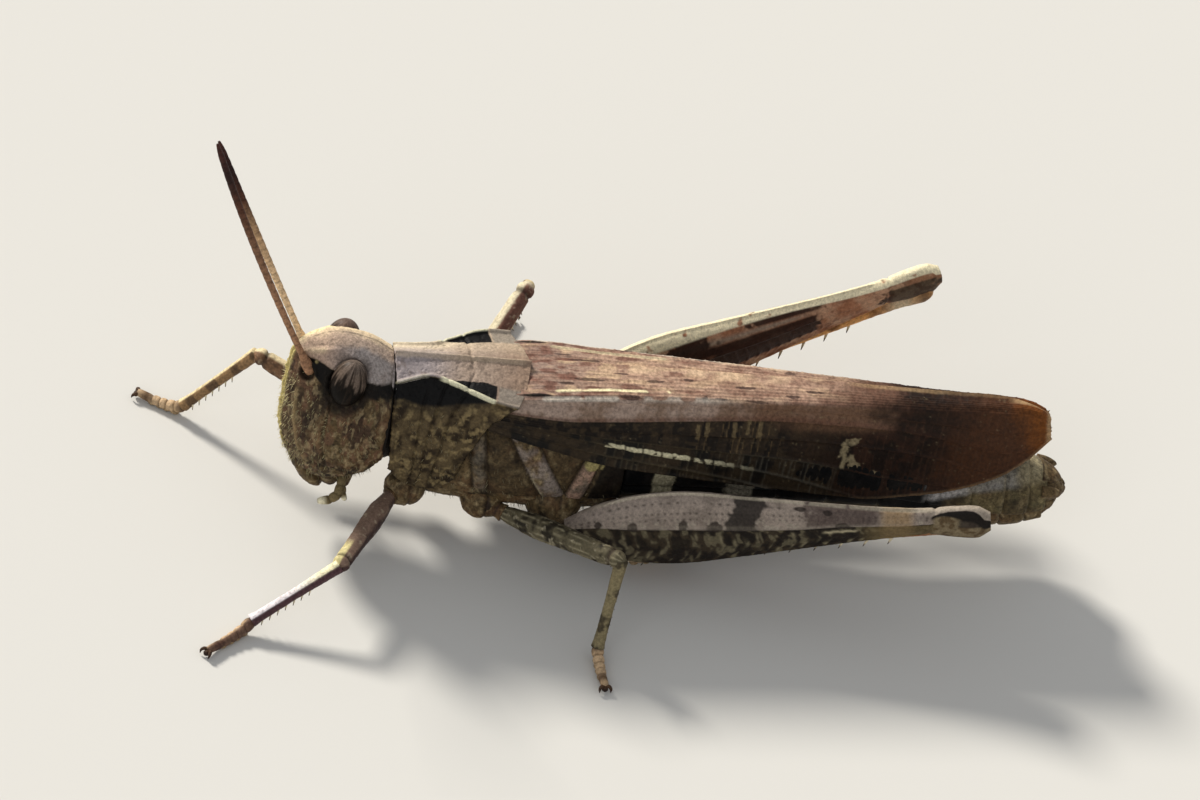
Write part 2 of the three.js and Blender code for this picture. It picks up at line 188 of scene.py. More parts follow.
def cloud(points, size, seed, layers=3):
    """Smooth random values from -1 to 1 in lumps of a size in mm."""
    total = np.zeros(points.shape[:-1])
    reach = 0.0
    for layer in range(layers):
        p = points / size * 2 ** layer + seed * 7.31
        cell = np.floor(p).astype(np.int64)
        f = p - cell
        f = f * f * (3 - 2 * f)
        value = 0
        for corner in range(8):
            bits = np.array([corner & 1, corner >> 1 & 1, corner >> 2])
            x, y, z = np.moveaxis(cell + bits, -1, 0)
            mixed = (x * 73856093 ^ y * 19349663 ^ z * 83492791 ^ (seed + layer) * 40503) & 0xFFFFFFFF
            mixed = (mixed ^ mixed >> 13) * 1274126177 & 0xFFFFFFFF
            mixed = (mixed ^ mixed >> 16) & 0xFFFF
            value = value + mixed / 32767.5 * np.prod(np.where(bits == 1, f, 1 - f), axis=-1)
        weight = 0.5 ** layer
        total += weight * (value - 1)
        reach += weight
    return total / reach * 1.6


def shade(red, green, blue):
    """A colour as it is seen, 0 to 255, as the light that it sends back."""
    seen = np.array([red, green, blue]) / 255
    return np.where(seen <= 0.04045, seen / 12.92, ((seen + 0.055) / 1.055) ** 2.4)


def blend(first, second, share):
    share = np.clip(np.asarray(share, float), 0, 1)[..., None]
    return first + (second - first) * share


def outward(grid, closed=True):
    """The surface's own direction at each point of a grid of rings."""
    if closed:
        across = np.roll(grid, -1, 1) - np.roll(grid, 1, 1)
    else:
        across = np.gradient(grid, axis=1)
    normal = np.cross(np.gradient(grid, axis=0), across)
    normal /= np.linalg.norm(normal, axis=-1, keepdims=True) + 1e-12
    if np.sum(normal * (grid - grid.mean(axis=(0, 1)))) < 0:
        normal = -normal
    return normal


def lifted(grid, height, closed=True):
    return grid + outward(grid, closed) * np.asarray(height)[..., None]


def rings(grid, paint):
    """Points, faces and colours of a closed skin over rings, with a fan over each end."""
    count, around = grid.shape[:2]
    index = np.arange(count * around).reshape(count, around)
    beside = np.roll(index, -1, axis=1)
    quads = np.stack([index[:-1], beside[:-1], beside[1:], index[1:]], -1).reshape(-1, 4)
    points = grid.reshape(-1, 3)
    colours = paint.reshape(-1, 3)
    middle = points.mean(0)
    side_a = points[quads[:, 2]] - points[quads[:, 0]]
    side_b = points[quads[:, 3]] - points[quads[:, 1]]
    size = np.sum(np.cross(side_a, side_b) * (points[quads[:, 0]] - middle))
    start, end = len(points), len(points) + 1
    fans = [(start, *pair) for pair in zip(beside[0], index[0])]
    fans += [(end, *pair) for pair in zip(index[-1], beside[-1])]
    points = np.vstack([points, grid[0].mean(0), grid[-1].mean(0)])
    colours = np.vstack([colours, paint[0].mean(0), paint[-1].mean(0)])
    faces = quads.tolist() + [list(map(int, fan)) for fan in fans]
    if size < 0:
        faces = [face[::-1] for face in faces]
    return points, faces, colours


def piece(name, parts, material, nodes):
    """One object from skins, riding on the insect's body and standing for its solids."""
    points, faces, colours, start = [], [], [], 0
    for part_points, part_faces, part_colours in parts:
        points.append(part_points)
        colours.append(part_colours)
        faces += [[corner + start for corner in face] for face in part_faces]
        start += len(part_points)
    mesh = bpy.data.meshes.new(name)
    mesh.from_pydata(place(np.vstack(points)).tolist(), [], faces)
    paint = mesh.attributes.new("paint", "FLOAT_COLOR", "POINT")
    rgba = np.ones((start, 4), np.float32)
    rgba[:, :3] = np.clip(np.vstack(colours), 0.0005, 1)
    paint.data.foreach_set("color", rgba.ravel())
    mesh.polygons.foreach_set("use_smooth", [True] * len(faces))
    mesh.materials.append(material)
    mesh.update()
    made = bpy.data.objects.new(name, mesh)
    bpy.context.scene.collection.objects.link(made)
    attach(made, "root")
    if nodes:
        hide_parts(*nodes)
    return made


def horn(name, grain=0.09, contrast=0.45, roughness=0.55, relief=0.012, specks=0.5, gloss=0.14):
    """Painted horn: the paint broken up by fine grain and paler specks, with a grained skin."""
    material = bpy.data.materials.new(name)
    material.use_nodes = True
    tree = material.node_tree
    shader = tree.nodes["Principled BSDF"]
    add, link = tree.nodes.new, tree.links.new

    paint = add("ShaderNodeAttribute")
    paint.attribute_name = "paint"

    def scaled(vector, factor):
        node = add("ShaderNodeVectorMath")
        node.operation = "SCALE"
        link(vector, node.inputs[0])
        if isinstance(factor, (int, float)):
            node.inputs["Scale"].default_value = factor
        else:
            link(factor, node.inputs["Scale"])
        return node.outputs[0]

    place_mm = scaled(add("ShaderNodeTexCoord").outputs["Object"], 1 / MM)

    def noise(size, detail, rough):
        node = add("ShaderNodeTexNoise")
        node.inputs["Scale"].default_value = 1 / size
        node.inputs["Detail"].default_value = detail
        node.inputs["Roughness"].default_value = rough
        link(place_mm, node.inputs["Vector"])
        return node.outputs["Fac"]

    def ranged(value, low, high, to_low, to_high):
        node = add("ShaderNodeMapRange")
        limits = {"From Min": low, "From Max": high, "To Min": to_low, "To Max": to_high}
        for socket, number in limits.items():
            node.inputs[socket].default_value = number
        link(value, node.inputs["Value"])
        return node.outputs["Result"]

    coarse = noise(grain, 4, 0.65)
    fine = noise(grain * 0.35, 3, 0.6)
    strength = ranged(coarse, 0.35, 0.65, 1 - contrast, 1 + contrast)
    grained = scaled(paint.outputs["Color"], strength)
    speckled = scaled(grained, ranged(fine, 0.56, 0.7, 1, 1 + specks))
    link(speckled, shader.inputs["Base Color"])
    shader.inputs["Specular IOR Level"].default_value = gloss
    link(ranged(fine, 0.3, 0.7, roughness - 0.1, roughness + 0.12), shader.inputs["Roughness"])
    skin = add("ShaderNodeBump")
    skin.inputs["Strength"].default_value = 0.8
    skin.inputs["Distance"].default_value = relief * MM
    both = add("ShaderNodeMath")
    both.operation = "ADD"
    link(coarse, both.inputs[0])
    link(fine, both.inputs[1])
    link(both.outputs[0], skin.inputs["Height"])
    link(skin.outputs["Normal"], shader.inputs["Normal"])
    return material


def squarish(wave, square):
    """A sine or cosine that turns a round section into a squarer one."""
    return np.sign(wave) * np.abs(wave) ** (2 / square)


def trunk(places, around, top, bottom, half, square=2.4, taper=0.0):
    """Rings of a body that is wide below and narrower on top, one at each place along X."""
    x = np.asarray(places)[:, None] + np.zeros(around)
    angle = 2 * np.pi * (np.arange(around) + 0.5) / around + np.zeros_like(x)
    low, high = along(bottom, x), along(top, x)
    z = (low + high) / 2 + ((high - low) / 2 - INSET) * squarish(np.cos(angle), square)
    share = (z - low) / (high - low)
    y = (along(half, x) - INSET) * squarish(np.sin(angle), square) * (1 - taper * share * share)
    return np.stack([x, y, z], -1)


olive = shade(88, 72, 48)
olive_dark = shade(40, 31, 20)
olive_pale = shade(136, 119, 88)
lilac_grey = shade(128, 117, 110)
body_horn = horn("mottled_horn", grain=0.1, contrast=0.45, roughness=0.6, specks=0.6)


def mottled(points, seed, size=0.35):
    """The olive brown of the face and sides, in dark and pale patches."""
    paint = blend(olive, olive_dark, step(-0.2, 0.8, cloud(points, size, seed, 3)))
    paint = blend(paint, shade(98, 70, 48), 0.45 * step(-0.1, 0.7, cloud(points, size * 1.7, seed + 3, 2)))
    return blend(paint, olive_pale, 0.75 * step(0.0, 0.9, cloud(points, size * 0.45, seed + 5, 3)))


def thorax_skin():
    grid = trunk(np.linspace(-3.4, 3.0, 180), 220, breast_top, breast_bottom, breast_half, 2.6, 0.3)
    x, _, z = np.moveaxis(grid, -1, 0)
    fall = (SEAM_TOP - z) / (SEAM_TOP - SEAM_FOOT)
    seams = np.stack([head + (foot - head) * fall for head, foot in PLATE_SEAMS])
    off = x - seams
    plate = np.sum(off > 0, axis=0)
    side = step(BREAST_LINE - 0.1, BREAST_LINE + 0.1, z)
    height = -0.07 * side * ridge(np.abs(off).min(0), 0.06)
    nearest_left = np.where(off > 0, off, 9).min(0)
    nearest_right = np.where(off < 0, -off, 9).min(0)
    crown = np.clip(nearest_left * nearest_right, 0, 0.25)
    height += 0.3 * crown * side
    height -= 0.06 * ridge(z - BREAST_LINE, 0.06)
    height += 0.02 * cloud(grid, 0.16, 3)
    paint = mottled(grid, 11)
    vivid = side * step(1.9, 2.4, z)
    paint = blend(paint, olive_dark, 0.5 * vivid * ((plate == 2) | (plate == 4)))
    strip = (plate == 1) * vivid * step(-0.8, 0.0, cloud(grid, 0.3, 21))
    paint = blend(paint, shade(104, 96, 84), 0.6 * strip)
    grey_plate = (plate == 3) * vivid * step(-0.7, 0.2, cloud(grid, 0.3, 22))
    paint = blend(paint, lilac_grey, 0.75 * grey_plate)
    pale_seam = ridge(x - seams[2] - 0.06, 0.04) * vivid * step(3.5, 3.1, z)
    paint = blend(paint, shade(168, 156, 128), 0.8 * pale_seam)
    bar = (plate == 5) * vivid * step(4.0, 3.85, z)
    bar_paint = blend(shade(150, 122, 104), shade(96, 84, 72), step(-0.3, 0.5, cloud(grid, 0.3, 24)))
    paint = blend(paint, bar_paint, bar)
    behind_plates = step(0.0, 0.12, x - seams[5] + 0.05 * cloud(grid, 0.3, 26)) * vivid
    paint = blend(paint, shade(12, 10, 9), 0.93 * behind_plates)
    knob = np.hypot((x - 2.1) / 0.32, (z - 3.78) / 0.22)
    height += 0.09 * step(1.0, 0.5, knob) + 0.05 * bar
    paint = blend(paint, shade(150, 138, 92), step(1.0, 0.8, knob))
    paint = blend(paint, olive_dark, 0.85 * ridge(np.abs(off).min(0), 0.045) * side)
    return rings(lifted(grid, height), paint)


def neck_skin():
    around = 2 * np.pi * np.arange(80) / 80
    run = np.linspace(-4.35, -3.2, 24)[:, None]
    wide = 1.2 - 0.03 * np.sin(run * 22)
    tall = wide + np.where(np.cos(around) < 0, 0.55, 0.35)
    grid = np.stack([run + 0 * around, wide * np.sin(around), 4.1 + tall * np.cos(around)], -1)
    paint = blend(shade(26, 21, 16), shade(84, 77, 74), step(5.3, 5.5, grid[..., 2]))
    return rings(grid, paint)


thorax = thorax_skin()
piece("thorax_plates", [thorax, neck_skin()], body_horn, ["thorax"])

# ---------------------------------------------------------------- abdomen
# Ten horn rings, each slipped under the one before it, with a soft fold between the back plates and
# the belly plates; two pairs of short digging valves, a small top plate and two cerci close the rear.
RING_ENDS = [4.55, 6.1, 7.6, 9.1, 10.6, 12.0, 13.3, 14.3, 15.05, 15.6]    # x of each ring's rear edge
FOLD_HEIGHT = 0.36                    # of the depth, where the back plates end
hull_top = [(2.9, 5.2), (6.0, 5.0), (10.0, 4.65), (13.0, 4.15), (14.6, 3.78), (15.6, 3.42)]
hull_bottom = [(2.9, 1.6), (6.0, 1.7), (10.0, 1.8), (12.5, 1.6), (14.4, 1.45), (15.6, 1.75)]
hull_half = [(2.9, 1.62), (6.0, 1.45), (10.0, 1.28), (13.0, 1.18), (14.6, 1.1), (15.6, 0.85)]
TAIL_HEIGHT = 2.6


def member(start, end, rows, count=60, around=40, upright=(0, 0, 1)):
    """Rings of a tapering member and their share and angle. A row is a share, depth, width and lift."""
    start, end = np.array(start, float), np.array(end, float)
    axis = end - start
    side = unit(np.cross(axis, upright))
    up = unit(np.cross(side, axis))
    rows = [tuple(row) + (0,) * (4 - len(row)) for row in rows]
    share = np.linspace(rows[0][0], rows[-1][0], count)[:, None] + np.zeros(around)
    angle = 2 * np.pi * np.arange(around) / around + np.zeros_like(share)
    depth, width, lift = (along([(row[0], row[k]) for row in rows], share) for k in (1, 2, 3))
    grid = (start + axis * share[..., None] + up * (lift + depth * np.cos(angle))[..., None]
            + side * (width * np.sin(angle))[..., None])
    return grid, share, angle


def plain(grid, colour):
    return rings(grid, np.zeros_like(grid) + colour)


def hull_skin():
    grid = trunk(np.linspace(3.08, 15.57, 380), 180, hull_top, hull_bottom, hull_half, 2.2)
    x, _, z = np.moveaxis(grid, -1, 0)
    ends = np.array([2.95] + RING_ENDS)
    ring = np.clip(np.searchsorted(ends, x) - 1, 0, len(RING_ENDS) - 1)
    share = (x - ends[ring]) / (ends[ring + 1] - ends[ring])
    low, high = along(hull_bottom, x), along(hull_top, x)
    level_share = (z - low) / (high - low)
    height = -0.09 * (1 - step(0, 0.16, share)) - 0.02 * step(0.9, 1, share)
    fold = ridge((level_share - FOLD_HEIGHT) * (high - low), 0.1)
    height -= 0.13 * fold
    height += 0.012 * cloud(grid, 0.2, 31)
    paint = blend(shade(22, 19, 17), shade(5, 5, 6), step(-0.4, 0.4, cloud(grid, 0.5, 33)))
    for centre, width, tint in ((4.24, 0.36, shade(154, 146, 120)), (6.5, 0.45, shade(130, 124, 108))):
        patch = ridge((x - centre) / width, 1) * step(4.2, 3.7, z) * step(2.0, 2.4, z)
        patch = step(0.38, 0.55, patch + 0.12 * cloud(grid, 0.25, 35))
        paint = blend(paint, tint, patch)
    rear = step(12.2, 13.6, x + 0.5 * cloud(grid, 0.5, 37))
    paint = blend(paint, mottled(grid, 39), rear)
    hem = along([(11.6, 3.1), (12.8, 3.5), (14, 3.72), (15, 3.75)], x)
    streak = step(0.5, 0.3, hem - z) * step(11.8, 12.2, x)
    paint = blend(paint, shade(156, 153, 152), 0.9 * streak * step(14.9, 14.4, x))
    # Painted highlight: the top of the abdomen's end, under the wing's hem, painted cream where the light
    # falls on it.
    paint = blend(paint, shade(206, 192, 158), 0.8 * step(0.5, 0.2, hem - z) * step(14.5, 15.0, x))
    paint = blend(paint, shade(130, 116, 90), 0.5 * step(0.86, 0.98, share) * step(12, 14, x))
    paint = blend(paint, shade(112, 98, 72), 0.6 * step(0.3, 0.15, level_share))
    smooth = blend(shade(101, 93, 65), shade(64, 57, 39), step(-0.5, 0.5, cloud(grid, 0.45, 47)))
    paint = blend(paint, smooth, 0.55 * rear * step(0.35, 0.5, level_share))
    return rings(lifted(grid, height), paint)


def tail_skins():
    skins = []
    valve = [(0, 0.7, 0.7), (0.35, 0.62, 0.58), (0.75, 0.38, 0.38), (0.95, 0.16, 0.16), (1, 0.03, 0.05)]
    for lift, tall, reach in ((0.24, 0.62, 16.25), (-0.3, 0.5, 16.05)):
        rows = [(share, depth * tall, width) for share, depth, width in valve]
        root, tip = (15.5, 0, TAIL_HEIGHT + lift), (reach, 0, TAIL_HEIGHT + lift * 0.35)
        grid, share, _ = member(root, tip, rows, 60, 80)
        height = 0.02 * cloud(grid, 0.15, 43) - 0.08 * ridge(grid[..., 1], 0.04) * step(0.2, 0.5, share)
        skins.append(rings(lifted(grid, height), mottled(grid, 41)))
    for side in (-1, 1):
        rows = [(0, 0.2, 0.2), (0.5, 0.17, 0.17), (0.9, 0.08, 0.08), (1, 0.02, 0.02)]
        grid, _, _ = member((15.4, side * 0.66, 3.06), (16.0, side * 0.6, 3.02), rows, 24, 24)
        skins.append(rings(grid, mottled(grid, 44)))
    rows = [(0, 0.14, 0.5), (0.6, 0.12, 0.36), (0.9, 0.06, 0.16), (1, 0.02, 0.04)]
    grid, _, _ = member((15.4, 0, 3.34), (16.05, 0, 3.08), rows, 30, 40)
    skins.append(rings(grid, mottled(grid, 45)))
    return skins


piece("abdomen_rings", [hull_skin(), *tail_skins()], body_horn, ["abdomen", "abdomen_tip"])

# ---------------------------------------------------------------- pronotum
# The saddle over the front of the thorax: a roofed back between two bent cream keels, and a lobe
# down each side. One horn plate, crossed by three grooves and finely pitted.
BACK_SHARE = 0.32                     # of the half-section, middle line to keel
PLATE = 0.12                          # mm, thickness of the plate
LOBE_HALF = 1.68
front_edge = [(0, -3.95), (0.32, -3.9), (0.6, -3.85), (1, -3.7)]
rear_edge = [(0, 0), (0.16, -0.15), (0.32, -0.45), (0.4, -0.85), (0.5, -1.2), (0.75, -1.6), (1, -1.95)]
keel_half = [(0, 0.78), (0.27, 0.64), (0.4, 0.77), (0.66, 1.26), (0.8, 1.46), (1, 1.58)]
keel_drop = [(0, 0.46), (0.15, 0.32), (0.27, 0.22), (0.66, 0.22), (0.8, 0.27), (1, 0.35)]
lobe_low = [(0, 3.0), (0.15, 2.65), (0.4, 2.42), (0.75, 2.45), (0.9, 2.65), (1, 3.0)]
lobe_bulge = [(0, 0), (0.12, 0.22), (0.45, 0.8), (0.75, 1), (1, 0.88)]
WEDGE_FOOT = [                        # lower edge of the black wedge below the keel
    (0, 0.165), (0.04, 0.165), (0.18, 0.21), (0.31, 0.228), (0.46, 0.205), (0.6, 0.13), (0.73, 0.058),
    (0.8, 0.0), (0.9, -0.05),
]
WEDGE_EDGE = [                        # inner edge of the black wedge on the back
    (0.38, 0.33), (0.425, 0.3), (0.53, 0.255), (0.64, 0.212), (0.8, 0.2),
]
WEDGE_END = 0.735                     # of the length, where it stops
LOBE_DEEP, SIDE_LONG = 3.2, 2.9       # mm, down a lobe and along its side


def four_corners(index):
    return np.stack([index[:-1, :-1], index[:-1, 1:], index[1:, 1:], index[1:, :-1]], -1).reshape(-1, 4)


def border(index):
    return np.concatenate([index[0, :-1], index[:-1, -1], index[-1, :0:-1], index[:0:-1, 0]])


def sheet(outer, thickness, paint):
    """A closed thin skin: the outer grid, a third of its rows and columns moved inward, and the rim."""
    normal = outward(outer, closed=False)
    flipped = np.sum(normal * np.cross(np.gradient(outer, axis=0), np.gradient(outer, axis=1))) < 0
    kept = np.ix_(*[np.unique(np.append(np.arange(0, n, 3), n - 1)) for n in outer.shape[:2]])
    inner = (outer - normal * thickness)[kept]
    index = np.arange(outer[..., 0].size).reshape(outer.shape[:2])
    under = index.size + np.arange(inner[..., 0].size).reshape(inner.shape[:2])
    ring, low_ring = border(index), border(under)
    at = np.append(np.flatnonzero(np.isin(ring, index[kept])), len(ring))
    ring, low_ring = np.append(ring, ring[0]).tolist(), np.append(low_ring, low_ring[0]).tolist()
    rim = [ring[at[k]:at[k + 1] + 1] + [low_ring[k + 1], low_ring[k]] for k in range(len(at) - 1)]
    over_faces, under_faces = four_corners(index), four_corners(under)
    if flipped:
        under_faces = under_faces[:, ::-1]
        rim = [loop[::-1] for loop in rim]
    else:
        over_faces = over_faces[:, ::-1]
    faces = over_faces.tolist() + under_faces.tolist() + rim
    points = np.vstack([outer.reshape(-1, 3), inner.reshape(-1, 3)])
    return points, faces, np.vstack([paint.reshape(-1, 3), paint[kept].reshape(-1, 3)])


def saddle_skin():
    share, around = np.meshgrid(np.linspace(0, 1, 250), np.linspace(-1, 1, 400), indexing="ij")
    side, near = np.sign(around), np.abs(around)
    x = along(front_edge, near) * (1 - share) + along(rear_edge, near) * share
    keel = along(keel_half, share)
    drop = along(keel_drop, share)
    back = BACK_HEIGHT - INSET + 0.06 * (1 - share)
    flat = np.clip(near / BACK_SHARE, 0, 1)
    q = np.clip((near - BACK_SHARE) / (1 - BACK_SHARE), 0, 1)
    y = keel * flat + (LOBE_HALF - INSET - keel) * along(lobe_bulge, q)
    z = (back - drop * flat) * (1 - q) + along(lobe_low, share) * q
    grid = np.stack([x, side * y, z], -1)
    on_back = near < BACK_SHARE
    to_keel = (near - BACK_SHARE) * np.where(on_back, keel / BACK_SHARE, 5.2)     # mm across
    to_middle = near * keel / BACK_SHARE
    middle_line = ridge(to_middle, 0.05)
    keel_line = ridge(to_keel, 0.055)
    grooves = [(0.30, 0.4, 1.0), (0.43, 0.3, 1.0), (0.6, 0.0, 0.8)]
    cut = 0
    for at, start, end in grooves:
        bend = at + 0.05 * (near - 0.5) + 0.02 * cloud(grid, 0.6, 51)
        reach = step(start - 0.06, start + 0.04, near) * step(end + 0.05, end - 0.05, near)
        cut = np.maximum(cut, ridge((share - bend) * 3.3, 0.05) * (reach if start else step(1, 0.9, near)))
    lobe = step(0, 0.12, q)
    to_ends = np.minimum(1 - share, share) * SIDE_LONG
    rim = np.exp(-to_ends / 0.05) + np.exp(-(1 - q) * LOBE_DEEP / 0.06)
    height = 0.09 * middle_line + 0.09 * keel_line - 0.045 * cut + 0.03 * rim * lobe
    rear = step(0.58, 0.66, share)
    pits = np.clip(cloud(grid, 0.13, 53, 2), 0, 1)
    height -= (0.03 - 0.01 * rear * on_back) * pits * (1 - middle_line) * (1 - keel_line)
    height += (0.02 - 0.012 * on_back) * cloud(grid, 0.35, 55)
    height += 0.03 * np.clip(np.sin(near * 40) - 0.6, 0, 1) * lobe * step(-0.2, 0.4, cloud(grid, 0.5, 56))

    top = blend(shade(154, 144, 144), shade(152, 134, 120), step(0.2, 0.55, share))
    top = blend(top, shade(143, 120, 103), step(0.6, 1, share))
    top = blend(top, shade(112, 96, 86), 0.4 * step(0.2, 0.8, cloud(grid, 0.2, 57)))
    # Painted light: the far half of the back painted paler and creamier, as if lit from the far side.
    top = blend(top, shade(212, 192, 164), 0.45 * (side > 0) * step(0.02, 0.2, near))
    top = blend(top, shade(232, 216, 182), 0.45 * (side > 0) * step(0.15, 0.3, near) * step(0.8, 0.5, share))
    low = blend(shade(88, 74, 51), shade(42, 32, 20), step(-0.4, 0.7, cloud(grid, 0.3, 59, 3)))
    low = blend(low, shade(138, 120, 84), 0.75 * step(-0.05, 0.85, cloud(grid, 0.15, 61, 3)))
    low = blend(low, shade(24, 18, 13), 0.3 * cut)
    paint = np.where(on_back[..., None], top, low)
    black = shade(9, 8, 9)
    wedge_foot = along(WEDGE_FOOT, share) + 0.012 * cloud(grid, 0.2, 63)
    outer_wedge = step(0.0, 0.008, q) * step(wedge_foot + 0.015, wedge_foot - 0.02, q)
    wedge_end = WEDGE_END + 0.235 * near - share
    inner_edge = along(WEDGE_EDGE, share) + 0.006 * cloud(grid, 0.12, 64)
    inner_wedge = on_back * step(inner_edge - 0.004, inner_edge + 0.004, near) * step(0, 0.012, wedge_end)
    wedge_shade = step(wedge_foot + 0.12, wedge_foot, q) * step(0.005, 0.02, q)
    paint = blend(paint, shade(26, 21, 18), 0.6 * wedge_shade)
    paint = blend(paint, black, np.maximum(outer_wedge, inner_wedge))
    behind_wedge = step(0.0, -0.02, wedge_end) * step(0.19, 0.22, near) * on_back
    paint = blend(paint, shade(136, 128, 118), 0.8 * behind_wedge)
    stripe = step(0.16, 0.06, to_middle + 0.03 * cloud(grid, 0.3, 65)) * step(1.0, 0.9, share)
    paint = blend(paint, shade(196, 176, 150), 0.45 * stripe)
    front_keel = 0.3 * ridge(to_keel, 0.035) * step(0.28, 0.24, share)
    rear_keel = step(0.5, 0.75, ridge(to_keel - 0.02, 0.075))
    rear_keel *= step(0.34, 0.4, share) * step(0.82, 0.79, share)
    paint = blend(paint, shade(206, 202, 174), np.maximum(front_keel, rear_keel))
    return sheet(lifted(grid, height, closed=False), PLATE, paint)


saddle_horn = horn("pronotum_horn", grain=0.08, contrast=0.22, roughness=0.6, specks=0.35)
saddle = saddle_skin()
piece("pronotum_saddle", [saddle], saddle_horn, ["pronotum"])

# ---------------------------------------------------------------- head
# One hard, grained capsule with a slanted face, carved with its ridges, seams and sockets, and tipped
# a little to the right on the neck. Grey on the crown, mottled olive brown below.
HEAD_ROLL = math.radians(-8)          # about the X axis, the crown leans to the right
ROLL_HEIGHT = 4.2
HEAD_MIDDLE = np.array([-5.25, 0.0, 5.2])
CROWN_EDGE = [                        # lower edge of the grey crown, along X
    (-6.7, 5.98), (-6.47, 5.89), (-6.11, 5.86), (-5.85, 5.76), (-5.5, 5.62), (-4.9, 5.5), (-4.0, 5.44),
]
WEDGE_UNDER = [                       # lower edge of the black wedge before the eye
    (-6.52, 5.87), (-6.4, 5.66), (-6.25, 5.46), (-6.05, 5.24), (-5.75, 5.0),
]
HEAD_TAPER, HEAD_SQUARE = 0.34, 2.4
SOCKET = np.array([-6.42, 0.6, 5.43])         # the foot of a feeler, before the head is tipped
EYE_CENTRE = np.array([-5.3, 1.03, 5.45])
EYE_RADII = np.array([0.54, 0.5, 0.78])
EYE_TILT = math.radians(8)
head_top = [(-6.88, 4.9), (-6.8, 5.78), (-6.62, 6.18), (-6.2, 6.43), (-5.5, 6.53), (-4.6, 6.33), (-4.0, 6.0)]
head_bottom = [
    (-6.88, 3.95), (-6.8, 3.0), (-6.62, 2.5), (-6.2, 1.98), (-5.6, 1.72), (-4.8, 1.85), (-4.3, 2.1),
    (-4.0, 2.45),
]
head_half = [(-6.88, 0.3), (-6.8, 0.55), (-6.62, 0.8), (-6.2, 1.15), (-5.6, 1.45), (-4.8, 1.6), (-4.0, 1.55)]


def tipped(points, roll=HEAD_ROLL):
    """Points of the upright head, on the head as it is held. The opposite roll sets them upright."""
    x, y, z = np.moveaxis(np.asarray(points, float), -1, 0)
    c, s = math.cos(roll), math.sin(roll)
    rise = z - ROLL_HEIGHT
    return np.stack([x, y * c - rise * s, ROLL_HEIGHT + y * s + rise * c], -1)


def in_head(p):
    """Below 1 inside the bare capsule."""
    x, y, z = np.moveaxis(p, -1, 0)
    low, high = along(head_bottom, x), along(head_top, x)
    share = (z - low) / (high - low)
    half = (along(head_half, x) - INSET) * (1 - HEAD_TAPER * share * share)
    middle, tall = (low + high) / 2, (high - low) / 2 - INSET
    value = np.abs((z - middle) / tall) ** HEAD_SQUARE + np.abs(y / half) ** HEAD_SQUARE
    return np.where((x < -6.88 + INSET) | (x > -3.97), 9, value)


def eye_reach(p):
    """Distance from an eye's middle, counted in its own radii."""
    x, y, z = np.moveaxis(p, -1, 0)
    x, y, z = x - EYE_CENTRE[0], np.abs(y) - EYE_CENTRE[1], z - EYE_CENTRE[2]
    c, s = math.cos(EYE_TILT), math.sin(EYE_TILT)
    return np.sqrt(((x * c - z * s) / EYE_RADII[0]) ** 2 + (y / EYE_RADII[1]) ** 2
                   + ((x * s + z * c) / EYE_RADII[2]) ** 2)


